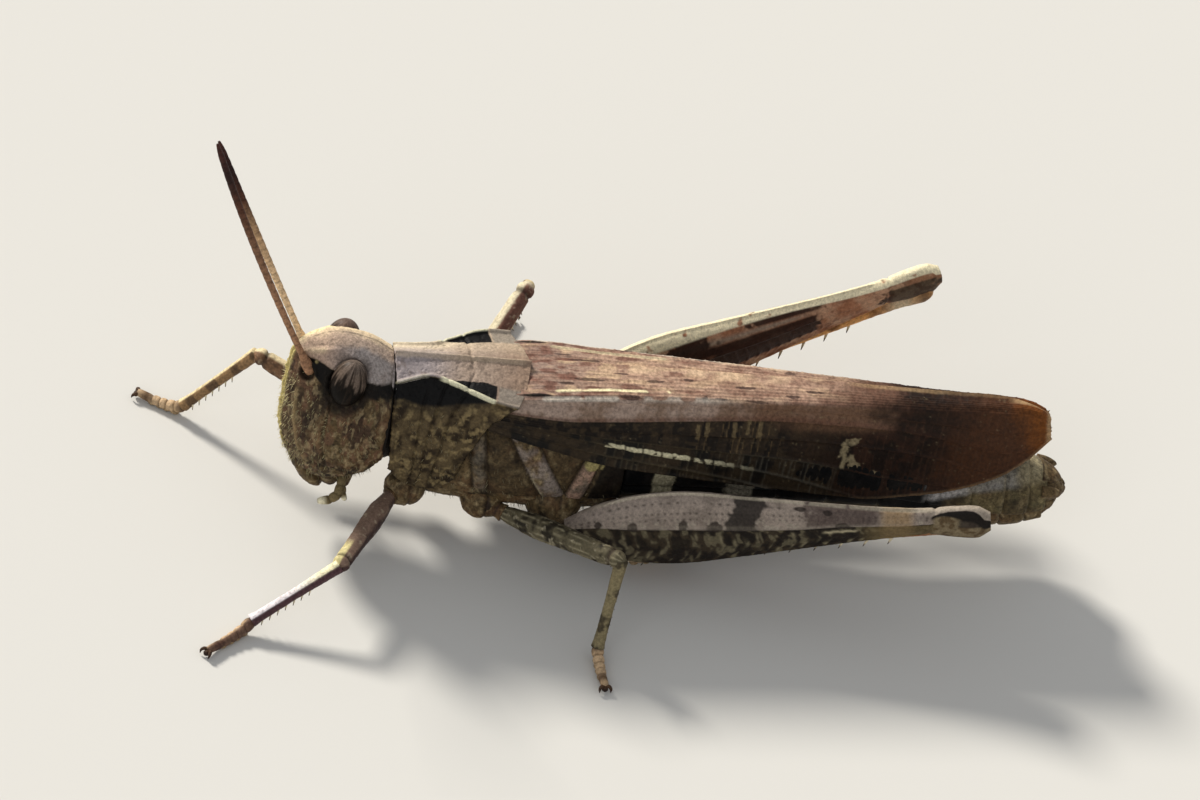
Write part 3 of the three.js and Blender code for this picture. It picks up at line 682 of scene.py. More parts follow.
def head_skin():
    front = np.linspace(-125, 155, 450)
    hidden = np.linspace(160, 230, 18)
    turn = np.radians(np.concatenate([front, hidden]))[None, :]
    lean = np.radians(np.linspace(2, 178, 320))[:, None]
    aim = np.stack([-np.sin(lean) * np.cos(turn), -np.cos(lean) + 0 * turn, np.sin(lean) * np.sin(turn)], -1)
    near, far = np.zeros(aim.shape[:2]), np.full(aim.shape[:2], 6.0)
    for _ in range(26):
        half = (near + far) / 2
        inside = in_head(HEAD_MIDDLE + aim * half[..., None]) < 1
        near, far = np.where(inside, half, near), np.where(inside, far, half)
    grid = HEAD_MIDDLE + aim * near[..., None]
    for _ in range(3):
        soft = grid.copy()
        soft[1:-1] = (grid[1:-1] * 2 + grid[:-2] + grid[2:]) / 4
        soft = (soft * 2 + np.roll(soft, 1, 1) + np.roll(soft, -1, 1)) / 4
        grid = soft
    normal = outward(grid)
    x, y, z = np.moveaxis(grid, -1, 0)
    wide = np.abs(y)
    facing = step(0.25, 0.7, -normal[..., 0])
    upper = step(0.3, 0.7, normal[..., 2])
    aside = step(0.5, 0.8, np.abs(normal[..., 1]))

    rib = along([(2.6, 0.36), (3.4, 0.29), (4.3, 0.22), (4.9, 0.18), (5.4, 0.14), (5.9, 0.1)], z)
    face = facing * step(5.95, 5.75, z) * step(2.7, 2.85, z)
    ribs = ridge(wide - rib, 0.045) * face
    height = 0.075 * ribs - 0.05 * step(rib, rib - 0.06, wide) * face
    cheek = along([(2.3, 1.02), (3.0, 0.88), (4.0, 0.74), (4.9, 0.62)], z)
    cheek_ribs = ridge(wide - cheek, 0.045) * facing * step(5.0, 4.8, z) * step(2.5, 2.7, z)
    height += 0.06 * cheek_ribs
    height += 0.05 * step(rib + 0.3, rib, wide) * step(rib, rib + 0.05, wide) * face
    lip_seam = ridge(z - 2.78 - 0.1 * wide, 0.045) * facing * step(1.0, 0.9, wide)
    below_line = along([(2.4, -5.5), (3.5, -5.8), (4.8, -5.74)], z)
    below_eye = ridge(x - below_line, 0.04)
    below_eye *= aside * step(4.95, 4.8, z) * step(2.5, 2.7, z)
    jaw_seam = ridge(z - 2.55 + 0.12 * (x + 5.4), 0.045) * aside * step(-6.1, -5.9, x) * step(-4.7, -4.9, x)
    seams = np.maximum(np.maximum(lip_seam, below_eye), jaw_seam)
    height -= 0.07 * seams
    reach = eye_reach(grid)
    height += 0.03 * ridge(reach - 1.2, 0.08) * step(5.9, 5.6, z) - 0.05 * step(1.1, 0.98, reach)

    edge = along([(-6.84, 0.06), (-6.7, 0.24), (-6.45, 0.4), (-6.1, 0.5), (-5.7, 0.55), (-5.2, 0.62)], x)
    crown_rim = ridge(wide - edge, 0.05) * upper * step(-5.5, -5.9, x)
    height += 0.08 * crown_rim - 0.06 * step(edge, edge - 0.1, wide) * upper * step(-5.9, -6.2, x)
    height += 0.03 * ridge(y, 0.03) * upper * step(-6.6, -6.3, x)
    pit = ridge(wide - edge - 0.14, 0.06) * step(-6.8, -6.7, x) * step(-6.3, -6.4, x) * step(5.6, 5.75, z)
    height -= 0.05 * pit
    socket = np.linalg.norm(np.stack([x - SOCKET[0], wide - SOCKET[1], z - SOCKET[2]], -1), axis=-1)
    height += 0.06 * ridge(socket - 0.27, 0.06) - 0.12 * step(0.24, 0.16, socket)
    bead = np.minimum(
        np.linalg.norm(np.stack([x + 6.86, y, z - 4.62], -1), axis=-1),
        np.linalg.norm(np.stack([x + 6.25, wide - 0.66, z - 5.85], -1), axis=-1),
    )
    height += 0.05 * step(0.1, 0.03, bead)
    rough = 0.3 + 0.7 * step(5.7, 5.2, z)
    height += rough * (0.03 * cloud(grid, 0.11, 71, 2) + 0.02 * cloud(grid, 0.28, 73))

    paint = mottled(grid, 75, 0.24)
    paint = blend(paint, shade(70, 54, 42), 0.55 * facing)
    tall_patch = np.stack([x * 1.8, y * 1.8, z * 0.9], -1)
    paint = blend(paint, shade(104, 76, 58), 0.6 * step(0.1, 0.5, cloud(tall_patch, 0.36, 87, 2)))
    paint = blend(paint, shade(36, 27, 23), 0.65 * step(0.15, 0.55, cloud(tall_patch, 0.42, 88, 2)))
    fleck = step(0.3, 0.6, cloud(np.stack([x * 2.2, y * 2.2, z], -1), 0.2, 74, 2))
    paint = blend(paint, shade(150, 132, 100), 0.5 * fleck)
    crown_line = along(CROWN_EDGE, x) + 0.03 * cloud(grid, 0.3, 77)
    crown = step(crown_line - 0.04, crown_line + 0.05, z)
    crown_paint = blend(shade(150, 141, 137), shade(172, 146, 128), step(-4.9, -6.3, x))
    crown_paint = blend(crown_paint, shade(116, 102, 94), 0.35 * step(0.1, 0.8, cloud(grid, 0.2, 79)))
    # Painted light: the crown painted paler, and cream towards the far side, as if lit from the far side.
    lit_side = y + 0.12 * cloud(grid, 0.3, 78)
    crown_paint = blend(crown_paint, shade(176, 152, 132), 0.7 * step(-0.6, -0.35, lit_side))
    crown_paint = blend(crown_paint, shade(228, 206, 168), 0.75 * step(-0.25, 0.3, lit_side))
    near_eye = step(1.6, 1.1, reach) * step(5.6, 5.9, z) * step(-0.3, 0.3, cloud(grid, 0.16, 80))
    crown_paint = blend(crown_paint, shade(84, 73, 66), 0.55 * near_eye)
    paint = blend(paint, crown_paint, crown)
    under_crown = crown_line - z
    behind_eye = step(-5.1, -4.9, x) * step(-0.03, 0.01, under_crown)
    behind_eye *= step(0.5, 0.3, under_crown + 0.15 * cloud(grid, 0.2, 82))
    paint = blend(paint, shade(10, 9, 9), 0.97 * behind_eye)
    paint = blend(paint, shade(22, 17, 12), 0.85 * step(1.7, 1.2, reach) * step(5.6, 5.4, z))
    to_eye = step(-5.4, -5.6, x) * step(-6.55, -6.5, x) * step(0.3, 0.4, wide)
    to_eye *= step(-0.02, 0.02, under_crown) * step(0.0, 0.06, z - along(WEDGE_UNDER, x))
    paint = blend(paint, shade(9, 7, 6), 0.97 * to_eye)
    before_eye = ridge((reach - 1.22) / 0.16, 1) * step(-5.5, -5.65, x)
    before_eye *= step(5.65, 5.5, z) * step(4.9, 5.1, z)
    paint = blend(paint, shade(22, 17, 11), 0.85 * before_eye)
    paint = blend(paint, shade(26, 20, 14), 0.8 * step(0.3, 0.2, socket))
    # Painted highlight along the rim of the crown: strong on the far side, faint at its front end.
    far_rim_highlight = ridge(wide - edge, 0.11) * upper * step(-5.6, -5.9, x) * (y > 0)
    crown_rim_highlight = np.maximum(0.95 * far_rim_highlight, 0.3 * crown_rim * step(-5.9, -6.1, x))
    paint = blend(paint, shade(240, 226, 172), crown_rim_highlight)
    # Painted highlight: the front of the face between its ridges painted pale yellow where the light grazes
    # it.
    face_rim_highlight = step(rib + 0.1, rib, wide) * face
    paint = blend(paint, shade(184, 168, 106), 0.8 * face_rim_highlight * step(-0.6, 0.0, cloud(grid, 0.25, 84)))
    paint = blend(paint, shade(206, 190, 128), 0.85 * ribs)
    paint = blend(paint, shade(150, 130, 92), 0.6 * cheek_ribs)
    pale_line = ridge((below_line - x - 0.1) / 0.07, 1) * aside * step(4.6, 4.2, z) * step(3.0, 3.4, z)
    paint = blend(paint, shade(132, 104, 74), 0.55 * pale_line * step(-0.5, 0.2, cloud(grid, 0.2, 86)))
    paint = blend(paint, shade(26, 20, 14), 0.6 * seams)
    paint = blend(paint, shade(168, 152, 104), 0.6 * step(0.09, 0.04, bead))
    return rings(tipped(lifted(grid, height)), paint)


def neck_fold():
    """The soft fold that closes the gap between the crown and the front edge of the pronotum."""
    around = 2 * np.pi * np.arange(160) / 160
    x = np.linspace(-4.06, -3.95, 8)[:, None] + 0 * around
    low, high = along(head_bottom, -4.0), along(head_top, -4.0)
    z = (low + high) / 2 + (high - low) * 0.48 * squarish(np.cos(around), HEAD_SQUARE)
    share = (z - low) / (high - low)
    half = 0.96 * along(head_half, -4.0) * (1 - HEAD_TAPER * share * share)
    y = half * squarish(np.sin(around), HEAD_SQUARE)
    grid = tipped(np.stack([x, y + 0 * x, z + 0 * x], -1))
    return rings(grid, blend(shade(24, 19, 15), shade(150, 141, 138), step(5.42, 5.5, grid[..., 2])))


head_horn = horn("head_horn", grain=0.07, contrast=0.3, roughness=0.6, specks=0.4)
head = head_skin()
piece("head_capsule", [head, neck_fold()], head_horn, ["head"])

# ---------------------------------------------------------------- eyes
# Two tall ovals of fine lenses, one on each side of the head. Glossy; grey lilac with brown streaks
# above, dark brown below.
def ball(count, around, end):
    """Rings on a ball of radius 1, from end to end of its upright axis, and the turn about it."""
    lean = np.linspace(end, np.pi - end, count)[:, None] + np.zeros(around)
    turn = np.linspace(0, 2 * np.pi, around, endpoint=False) + 0 * lean
    points = np.stack([np.sin(lean) * np.cos(turn), np.sin(lean) * np.sin(turn), np.cos(lean)], -1)
    return points, turn


facets = horn("eye_lenses", grain=0.05, contrast=0.25, roughness=0.42, relief=0.003, specks=0.2, gloss=0.08)
for side, side_name in ((-1, "left"), (1, "right")):
    lenses, turn = ball(110, 140, 0.02)
    c, s = math.cos(EYE_TILT), math.sin(EYE_TILT)
    x, y, z = np.moveaxis(lenses * (EYE_RADII - INSET), -1, 0)
    grid = np.stack([x * c + z * s, y, z * c - x * s], -1) + EYE_CENTRE * (1, side, 1)
    tall = lenses[..., 2]
    streak = cloud(np.stack([turn * 1.1, 0.3 * tall, 0 * tall], -1), 0.13, 83, 2)
    upper = step(0.05, 0.6, tall + 0.3 * streak)
    paint = blend(shade(13, 9, 6), shade(80, 68, 59), upper)
    paint = blend(paint, shade(112, 97, 86), 0.7 * upper * step(0.05, 0.5, streak))
    paint = blend(paint, shade(34, 26, 20), 0.7 * step(0.05, 0.5, -streak))
    paint = blend(paint, shade(124, 111, 102), 0.4 * step(0.62, 0.97, tall + 0.15 * streak))
    # Painted highlight: the top of the right eye, on the far side, painted paler and pinker.
    paint = blend(paint, shade(104, 84, 76), 0.5 * step(0.6, 0.95, tall) * (side > 0))
    piece(f"eye_ball_{side_name}", [rings(tipped(grid), paint)], facets, [f"eye_{side_name}"])

# ---------------------------------------------------------------- mouthparts
# A notched upper lip over two dark jaws, and a lower lip behind them; two pairs of jointed feelers of
# the mouth hang beside them, with pale ends. Horn, hinged under the face.
def jointed(route, radii, joints, colours, around=20, per_joint=10, waist=0.22):
    """A chain of beads along a route of points, each bead narrow at its ends."""
    route = np.array(route, float)
    length = np.concatenate([[0], np.cumsum(np.linalg.norm(np.diff(route, axis=0), axis=1))])
    length /= length[-1]
    marks = np.array(joints, float)
    share = np.concatenate([
        a + (b - a) * (1 - np.cos(np.linspace(0, np.pi, per_joint, endpoint=False))) / 2
        for a, b in zip(marks[:-1], marks[1:])
    ] + [[1.0]])
    centre = np.stack([np.interp(share, length, route[:, k]) for k in range(3)], -1)
    ahead = unit(np.gradient(centre, axis=0) + 1e-9)
    side = unit(np.cross(ahead, [0.02, 1.0, 0.03]))
    up = np.cross(side, ahead)
    bead = np.clip(np.searchsorted(marks, share, side="right") - 1, 0, len(marks) - 2)
    local = (share - marks[bead]) / (marks[bead + 1] - marks[bead])
    size = along(radii, share) * (1 - waist * (np.abs(2 * local - 1) ** 4))
    angle = 2 * np.pi * np.arange(around) / around
    grid = (centre[:, None] + side[:, None] * (size[:, None] * np.cos(angle))[..., None]
            + up[:, None] * (size[:, None] * np.sin(angle))[..., None])
    at = [where for where, _ in colours]
    tints = np.array([tint for _, tint in colours])
    paint = np.stack([np.interp(share, at, tints[:, k]) for k in range(3)], -1)
    paint = paint[:, None, :] * (1 - 0.35 * (np.abs(2 * local - 1) ** 6))[:, None, None] + 0 * grid
    return rings(grid, paint)


def lip_skin():
    rows = [(0, 0.2, 0.6), (0.35, 0.3, 0.7), (0.75, 0.28, 0.6), (1, 0.12, 0.34)]
    grid, share, _ = member((-6.32, 0, 2.4), (-5.45, 0, 1.32), rows, 60, 90)
    notch = ridge(grid[..., 1], 0.1) * step(0.75, 1, share)
    grid[..., 2] += 0.14 * notch
    height = 0.02 * cloud(grid, 0.14, 91) - 0.04 * ridge(share - 0.3, 0.04)
    paint = mottled(grid, 93, 0.25)
    return rings(tipped(lifted(grid, height)), blend(paint, shade(150, 138, 108), 0.4 * notch))


def jaw_skins():
    rows = [(0, 0.5, 0.95), (0.5, 0.45, 0.9), (0.85, 0.34, 0.66), (1, 0.14, 0.36)]
    grid, share, _ = member((-5.35, 0, 2.6), (-5.15, 0, 1.44), rows, 60, 100, (-1, 0, 0))
    height = -0.09 * ridge(grid[..., 1], 0.05) - 0.03 * ridge(np.abs(grid[..., 1]) - 0.55, 0.04)
    height += 0.02 * cloud(grid, 0.16, 95)
    paint = blend(mottled(grid, 97, 0.25), shade(38, 26, 16), step(0.55, 1, share))
    skins = [rings(tipped(lifted(grid, height)), paint)]
    rows = [(0, 0.16, 0.46), (0.4, 0.24, 0.64), (0.85, 0.2, 0.52), (1, 0.08, 0.26)]
    grid, share, _ = member((-4.78, 0, 2.25), (-4.74, 0, 1.36), rows, 50, 90, (-1, 0, 0))
    height = 0.02 * cloud(grid, 0.15, 98) - 0.05 * ridge(grid[..., 1], 0.04) * step(0.5, 0.7, share)
    skins.append(rings(tipped(lifted(grid, height)), mottled(grid, 99, 0.2)))
    return skins


def palp_skins():
    skins = []
    pale = shade(222, 214, 184)
    brown = shade(112, 98, 68)
    for side in (-1, 1):
        route = [
            (-4.9, side * 0.75, 2.0), (-5.0, side * 1.04, 1.55),
            (-5.22, side * 1.02, 1.34), (-5.54, side * 0.98, 1.24),
        ]
        skins.append(jointed(tipped(route), [(0, 0.12), (0.4, 0.14), (0.8, 0.13), (1, 0.09)],
                             [0, 0.22, 0.45, 0.68, 1], [(0, brown), (0.75, brown), (0.88, pale), (1, pale)]))
        route = [(-4.9, side * 0.7, 1.9), (-4.86, side * 0.98, 1.55), (-4.76, side * 1.0, 1.36)]
        skins.append(jointed(tipped(route), [(0, 0.1), (0.6, 0.11), (1, 0.07)],
                             [0, 0.35, 0.65, 1], [(0, brown), (0.7, brown), (0.85, pale), (1, pale)]))
    return skins


piece("mouth_lip_and_jaws", [lip_skin(), *jaw_skins(), *palp_skins()], head_horn, ["mouthparts"])

# ---------------------------------------------------------------- bristles
# Short pale hairs that stand on the face, the cheeks, the lobes of the pronotum and the breast. Each
# is a thin three-sided spike of horn, rooted in the plate and leaning down and back.
HAIR_POINTS = 7                       # two rings of three, and the tip
HAIR_RINGS = [(0, 0.009), (0.55, 0.007)]      # share of the length, radius in mm


def bristles(name, skin, shown, count, long, tint, seed):
    """Hairs over a skin, thickest where shown is high. Their map keeps each root's place on the skin."""
    points, faces, _ = skin
    quads = np.array([face for face in faces if len(face) == 4])
    columns = np.sort(quads[0])[2]
    rows = len(points) / columns
    root = points[quads].mean(1)
    out = np.cross(points[quads[:, 2]] - points[quads[:, 0]], points[quads[:, 3]] - points[quads[:, 1]])
    size = np.linalg.norm(out, axis=-1) + 1e-12
    share = size * shown(root, out / size[:, None])
    luck = np.random.default_rng(seed)
    pick = luck.choice(len(quads), count, replace=False, p=share / share.sum())
    root, out = root[pick], (out / size[:, None])[pick]
    corner = quads[pick].min(1)
    on_map = np.stack([corner % columns / columns, corner // columns / rows], -1)
    lie = np.array([0.45, 0.0, -0.9])
    lie = lie - out * (out @ lie)[:, None]
    aim = unit(0.75 * out + 0.6 * lie + luck.normal(0, 0.14, root.shape))
    reach = long * luck.uniform(0.55, 1.15, (count, 1))
    side = unit(np.cross(aim, (0.31, 0.9, 0.3)))
    up = np.cross(side, aim)
    knots = []
    on_hair = []
    for along_hair, radius in HAIR_RINGS:
        centre = root - 0.02 * out + aim * reach * along_hair
        for k in range(3):
            angle = 2 * np.pi * k / 3
            knots.append(centre + radius * (side * math.cos(angle) + up * math.sin(angle)))
            on_hair.append((0.0028 * along_hair, 0.0014 * k))
    knots.append(root + aim * reach + 0.12 * reach * lie)
    on_hair.append((0.0028, 0.0014))
    pattern = np.array([[0, 1, 4, 3], [1, 2, 5, 4], [2, 0, 3, 5]])
    caps = np.array([[2, 1, 0], [3, 4, 6], [4, 5, 6], [5, 3, 6]])
    start = HAIR_POINTS * np.arange(count)[:, None, None]
    all_faces = (start + pattern).reshape(-1, 4).tolist() + (start + caps).reshape(-1, 3).tolist()
    hairs = np.stack(knots, 1).reshape(-1, 3)
    tone = (0.4 + 0.6 * step(0.4, 0.85, -out[:, :1])) * luck.uniform(0.7, 1, (count, 1))
    colours = np.repeat(tone * tint, HAIR_POINTS, axis=0)
    made = piece(name, [(hairs, all_faces, colours)], head_horn, None)
    layer = made.data.uv_layers.new(name="OFBake")
    corners = np.zeros(len(made.data.loops), np.int64)
    made.data.loops.foreach_get("vertex_index", corners)
    spots = 0.998 * on_map[corners // HAIR_POINTS] + np.array(on_hair)[corners % HAIR_POINTS]
    layer.data.foreach_set("uv", np.clip(spots, 0, 1).astype(np.float32).ravel())


def on_head(p, n):
    low = step(5.5, 4.9, p[:, 2])
    clear_of_eye = step(1.3, 1.7, eye_reach(tipped(p, -HEAD_ROLL)))
    thick = 0.16 + step(0.4, 0.85, -n[:, 0]) + 0.5 * step(0.1, 0.6, -n[:, 2])
    return low * thick * clear_of_eye * step(-4.1, -4.3, p[:, 0])


def on_lobes(p, n):
    outer_face = n[:, 1] * p[:, 1] > 0
    aside = step(0.2, 0.6, np.abs(n[:, 1])) * outer_face
    return aside * step(5.6, 4.6, p[:, 2]) * step(1.0, 1.2, np.abs(p[:, 1]))


def on_breast(p, n):
    return step(4.0, 3.0, p[:, 2]) * (0.25 + 0.75 * step(0.0, -0.6, n[:, 2])) * step(3.0, 2.4, p[:, 0])


bristles("bristles_head", head, on_head, 1300, 0.15, shade(216, 204, 156), 171)
bristles("bristles_pronotum", saddle, on_lobes, 320, 0.12, shade(190, 176, 140), 172)
bristles("bristles_breast", thorax, on_breast, 700, 0.17, shade(190, 176, 140), 173)

# ---------------------------------------------------------------- feelers
# Thread-like feelers of two dozen short beads on a thick first joint, each standing in its socket
# beside the eye. Tan brown, darker to the tip.
FEELER_BEADS = 24
feeler_horn = horn("feeler_horn", grain=0.1, contrast=0.35, roughness=0.55, specks=0.5)
feeler_routes = {                     # root, reach to the tip, sideways bend of the middle
    "left": ((-6.35, -0.42, 5.5), (-3.72, 1.85, 6.9), (-0.33, 0.0, 0.12)),
    "right": ((-6.35, 0.76, 5.34), (-3.3, 2.45, 5.55), (-0.12, 0.0, 0.1)),
}
# The right feeler is painted much paler than the left: a painted highlight where the light from the far side
# runs along it.
feeler_tans = {                       # at the root and in the middle
    "left": (shade(150, 112, 84), shade(120, 88, 66)),
    "right": (shade(226, 194, 152), shade(180, 146, 110)),
}
feeler_radii = [
    (0, 0.15), (0.05, 0.16), (0.07, 0.12), (0.1, 0.1), (0.35, 0.105), (0.7, 0.11), (0.95, 0.09), (1, 0.04),
]
for side_name, (root, reach, bend) in feeler_routes.items():
    root = np.array(root)
    tip = root + np.array(reach) * 0.992
    middle = (root + tip) / 2 + np.array(bend)
    t = np.linspace(0, 1, 80)[:, None]
    route = (1 - t) ** 2 * root + 2 * t * (1 - t) * middle + t * t * tip
    marks = np.concatenate([[0, 0.06, 0.09], 0.09 + 0.91 * np.linspace(0, 1, FEELER_BEADS)[1:]])
    root_tan, middle_tan = feeler_tans[side_name]
    colours = [
        (0, root_tan), (0.3, root_tan), (0.55, middle_tan),
        (0.72, shade(84, 52, 38)), (0.86, shade(44, 27, 25)), (1, shade(72, 42, 36)),
    ]
    skins = [jointed(route, feeler_radii, marks, colours, 16, 7, 0.1)]
    piece(f"feeler_{side_name}", skins, feeler_horn, [f"antenna_{side_name}"])

# ---------------------------------------------------------------- wings
# A pair of narrow leathery fore wings, folded over the back like a roof with steep sides, the left
# lying over the right. Stiff brown skin stretched between lengthwise veins with cross-veins between.
WING_START, WING_END = -1.18, 15.32
SKIN = 0.07                           # mm, thickness of a wing
VEIN_HIGH, VEIN_WIDE = 0.035, 0.035
LAP = 0.3                             # how far the left wing crosses the middle line
wing_top = [
    (-1.2, 5.8), (0.4, 5.95), (3, 5.98), (8, 5.94), (12, 5.85), (14.2, 5.84), (14.7, 5.78), (15.1, 5.61),
    (15.35, 5.38),
]
wing_low = [
    (-1.2, 4.8), (0.4, 4.5), (2.2, 4.0), (4, 3.7), (7, 3.28), (10, 2.95), (11.5, 3.12), (12.5, 3.3),
    (13.4, 3.61), (14.1, 3.96), (14.7, 4.46), (15.1, 4.88), (15.35, 5.08),
]
wing_fold = [
    (-1.2, 1.2), (0.4, 1.25), (2.5, 1.06), (7, 0.78), (10, 0.6), (13, 0.44), (14.7, 0.36), (15.35, 0.25),
]
wing_hem = [
    (-1.2, 1.6), (0.4, 1.85), (4, 1.75), (8, 1.47), (11.5, 1.27), (13.4, 1.12), (14.1, 1.01), (14.7, 0.86),
    (15.1, 0.7), (15.35, 0.5),
]
back_veins = (0.14, 0.3, 0.46, 0.6, 0.74, 0.87)       # shares of the back strip, middle to fold
side_veins = [                        # along X, share of the side strip from the fold to the hem
    [(-1.2, 0.05), (6, 0.04), (10, 0.08), (13, 0.2), (15.3, 0.5)],
    [(-1.2, 0.36), (1, 0.38), (2, 0.335), (4.9, 0.235), (7.9, 0.185), (12, 0.3), (15, 0.8)],
    [(-1.2, 0.5), (2, 0.48), (5, 0.42), (9, 0.4), (12, 0.55), (14.2, 0.98)],
    [(-1.2, 0.6), (2, 0.58), (5, 0.6), (9, 0.66), (12, 0.88), (13, 1.02)],
    [(-1.2, 0.64), (2.3, 0.675), (3.3, 0.708), (5.1, 0.748), (6.3, 0.78), (8.2, 0.87), (10, 1.0)],
    [(-1.2, 0.8), (3, 0.86), (6, 0.94), (7.5, 1.02)],
]
# Painted lines, in mm from the middle line, and the dashes of the lowest one, in mm along X.
FOLD_LINE = [(-1.2, 1.28), (0.3, 1.25), (2.5, 1.06), (4.0, 0.93), (4.9, 0.88), (7.8, 0.75), (10, 0.6)]
BACK_LINE = [(0.4, 0.97), (0.7, 0.93), (1.87, 0.81), (2.3, 0.77), (4.1, 0.7)]
DASHES = [(2.25, 2.85), (2.9, 3.38), (3.43, 3.95), (4.0, 4.82), (4.96, 5.5), (5.56, 6.15), (6.35, 6.75)]
PALE_MARK = [                         # bars of the pale mark: from and to along X, shares of the side strip
    (9.2, 9.38, 0.36, 0.66), (9.24, 9.8, 0.34, 0.4), (9.34, 9.7, 0.52, 0.6), (9.55, 9.95, 0.6, 0.67),
    (10.2, 10.32, 0.66, 0.7),
]
PALE_RUNGS = [(4.95, 0.5), (5.2, 0.46), (6.0, 0.44), (6.4, 0.4), (6.75, 0.42)]    # x, share of the side
DARK_SPOTS = [                        # x, mm from the middle line, half length, half width
    (0.1, 1.12, 0.4, 0.06), (2.8, 0.98, 0.34, 0.09), (5.03, 0.86, 0.08, 0.12), (5.5, 0.8, 0.2, 0.05),
    (6.5, 0.78, 0.4, 0.035), (1.0, 0.62, 0.3, 0.05), (1.7, 0.42, 0.5, 0.05), (3.6, 0.3, 0.3, 0.06),
    (2.6, 0.1, 0.3, 0.05), (4.6, 0.15, 0.2, 0.06), (6.2, 0.3, 0.3, 0.05), (7.6, 0.5, 0.2, 0.06),
    (8.3, 0.25, 0.3, 0.05),
]


def chance(*keys):
    """A fixed random number from 0 to 1 for whole-numbered keys."""
    mixed = np.zeros(np.broadcast(*keys).shape, np.int64) + 374761393
    for key in keys:
        mixed = (mixed ^ np.asarray(key, np.int64)) * 1103515245 + 12345 & 0xFFFFFFFF
        mixed ^= mixed >> 15
    return (mixed & 0xFFFF) / 65535


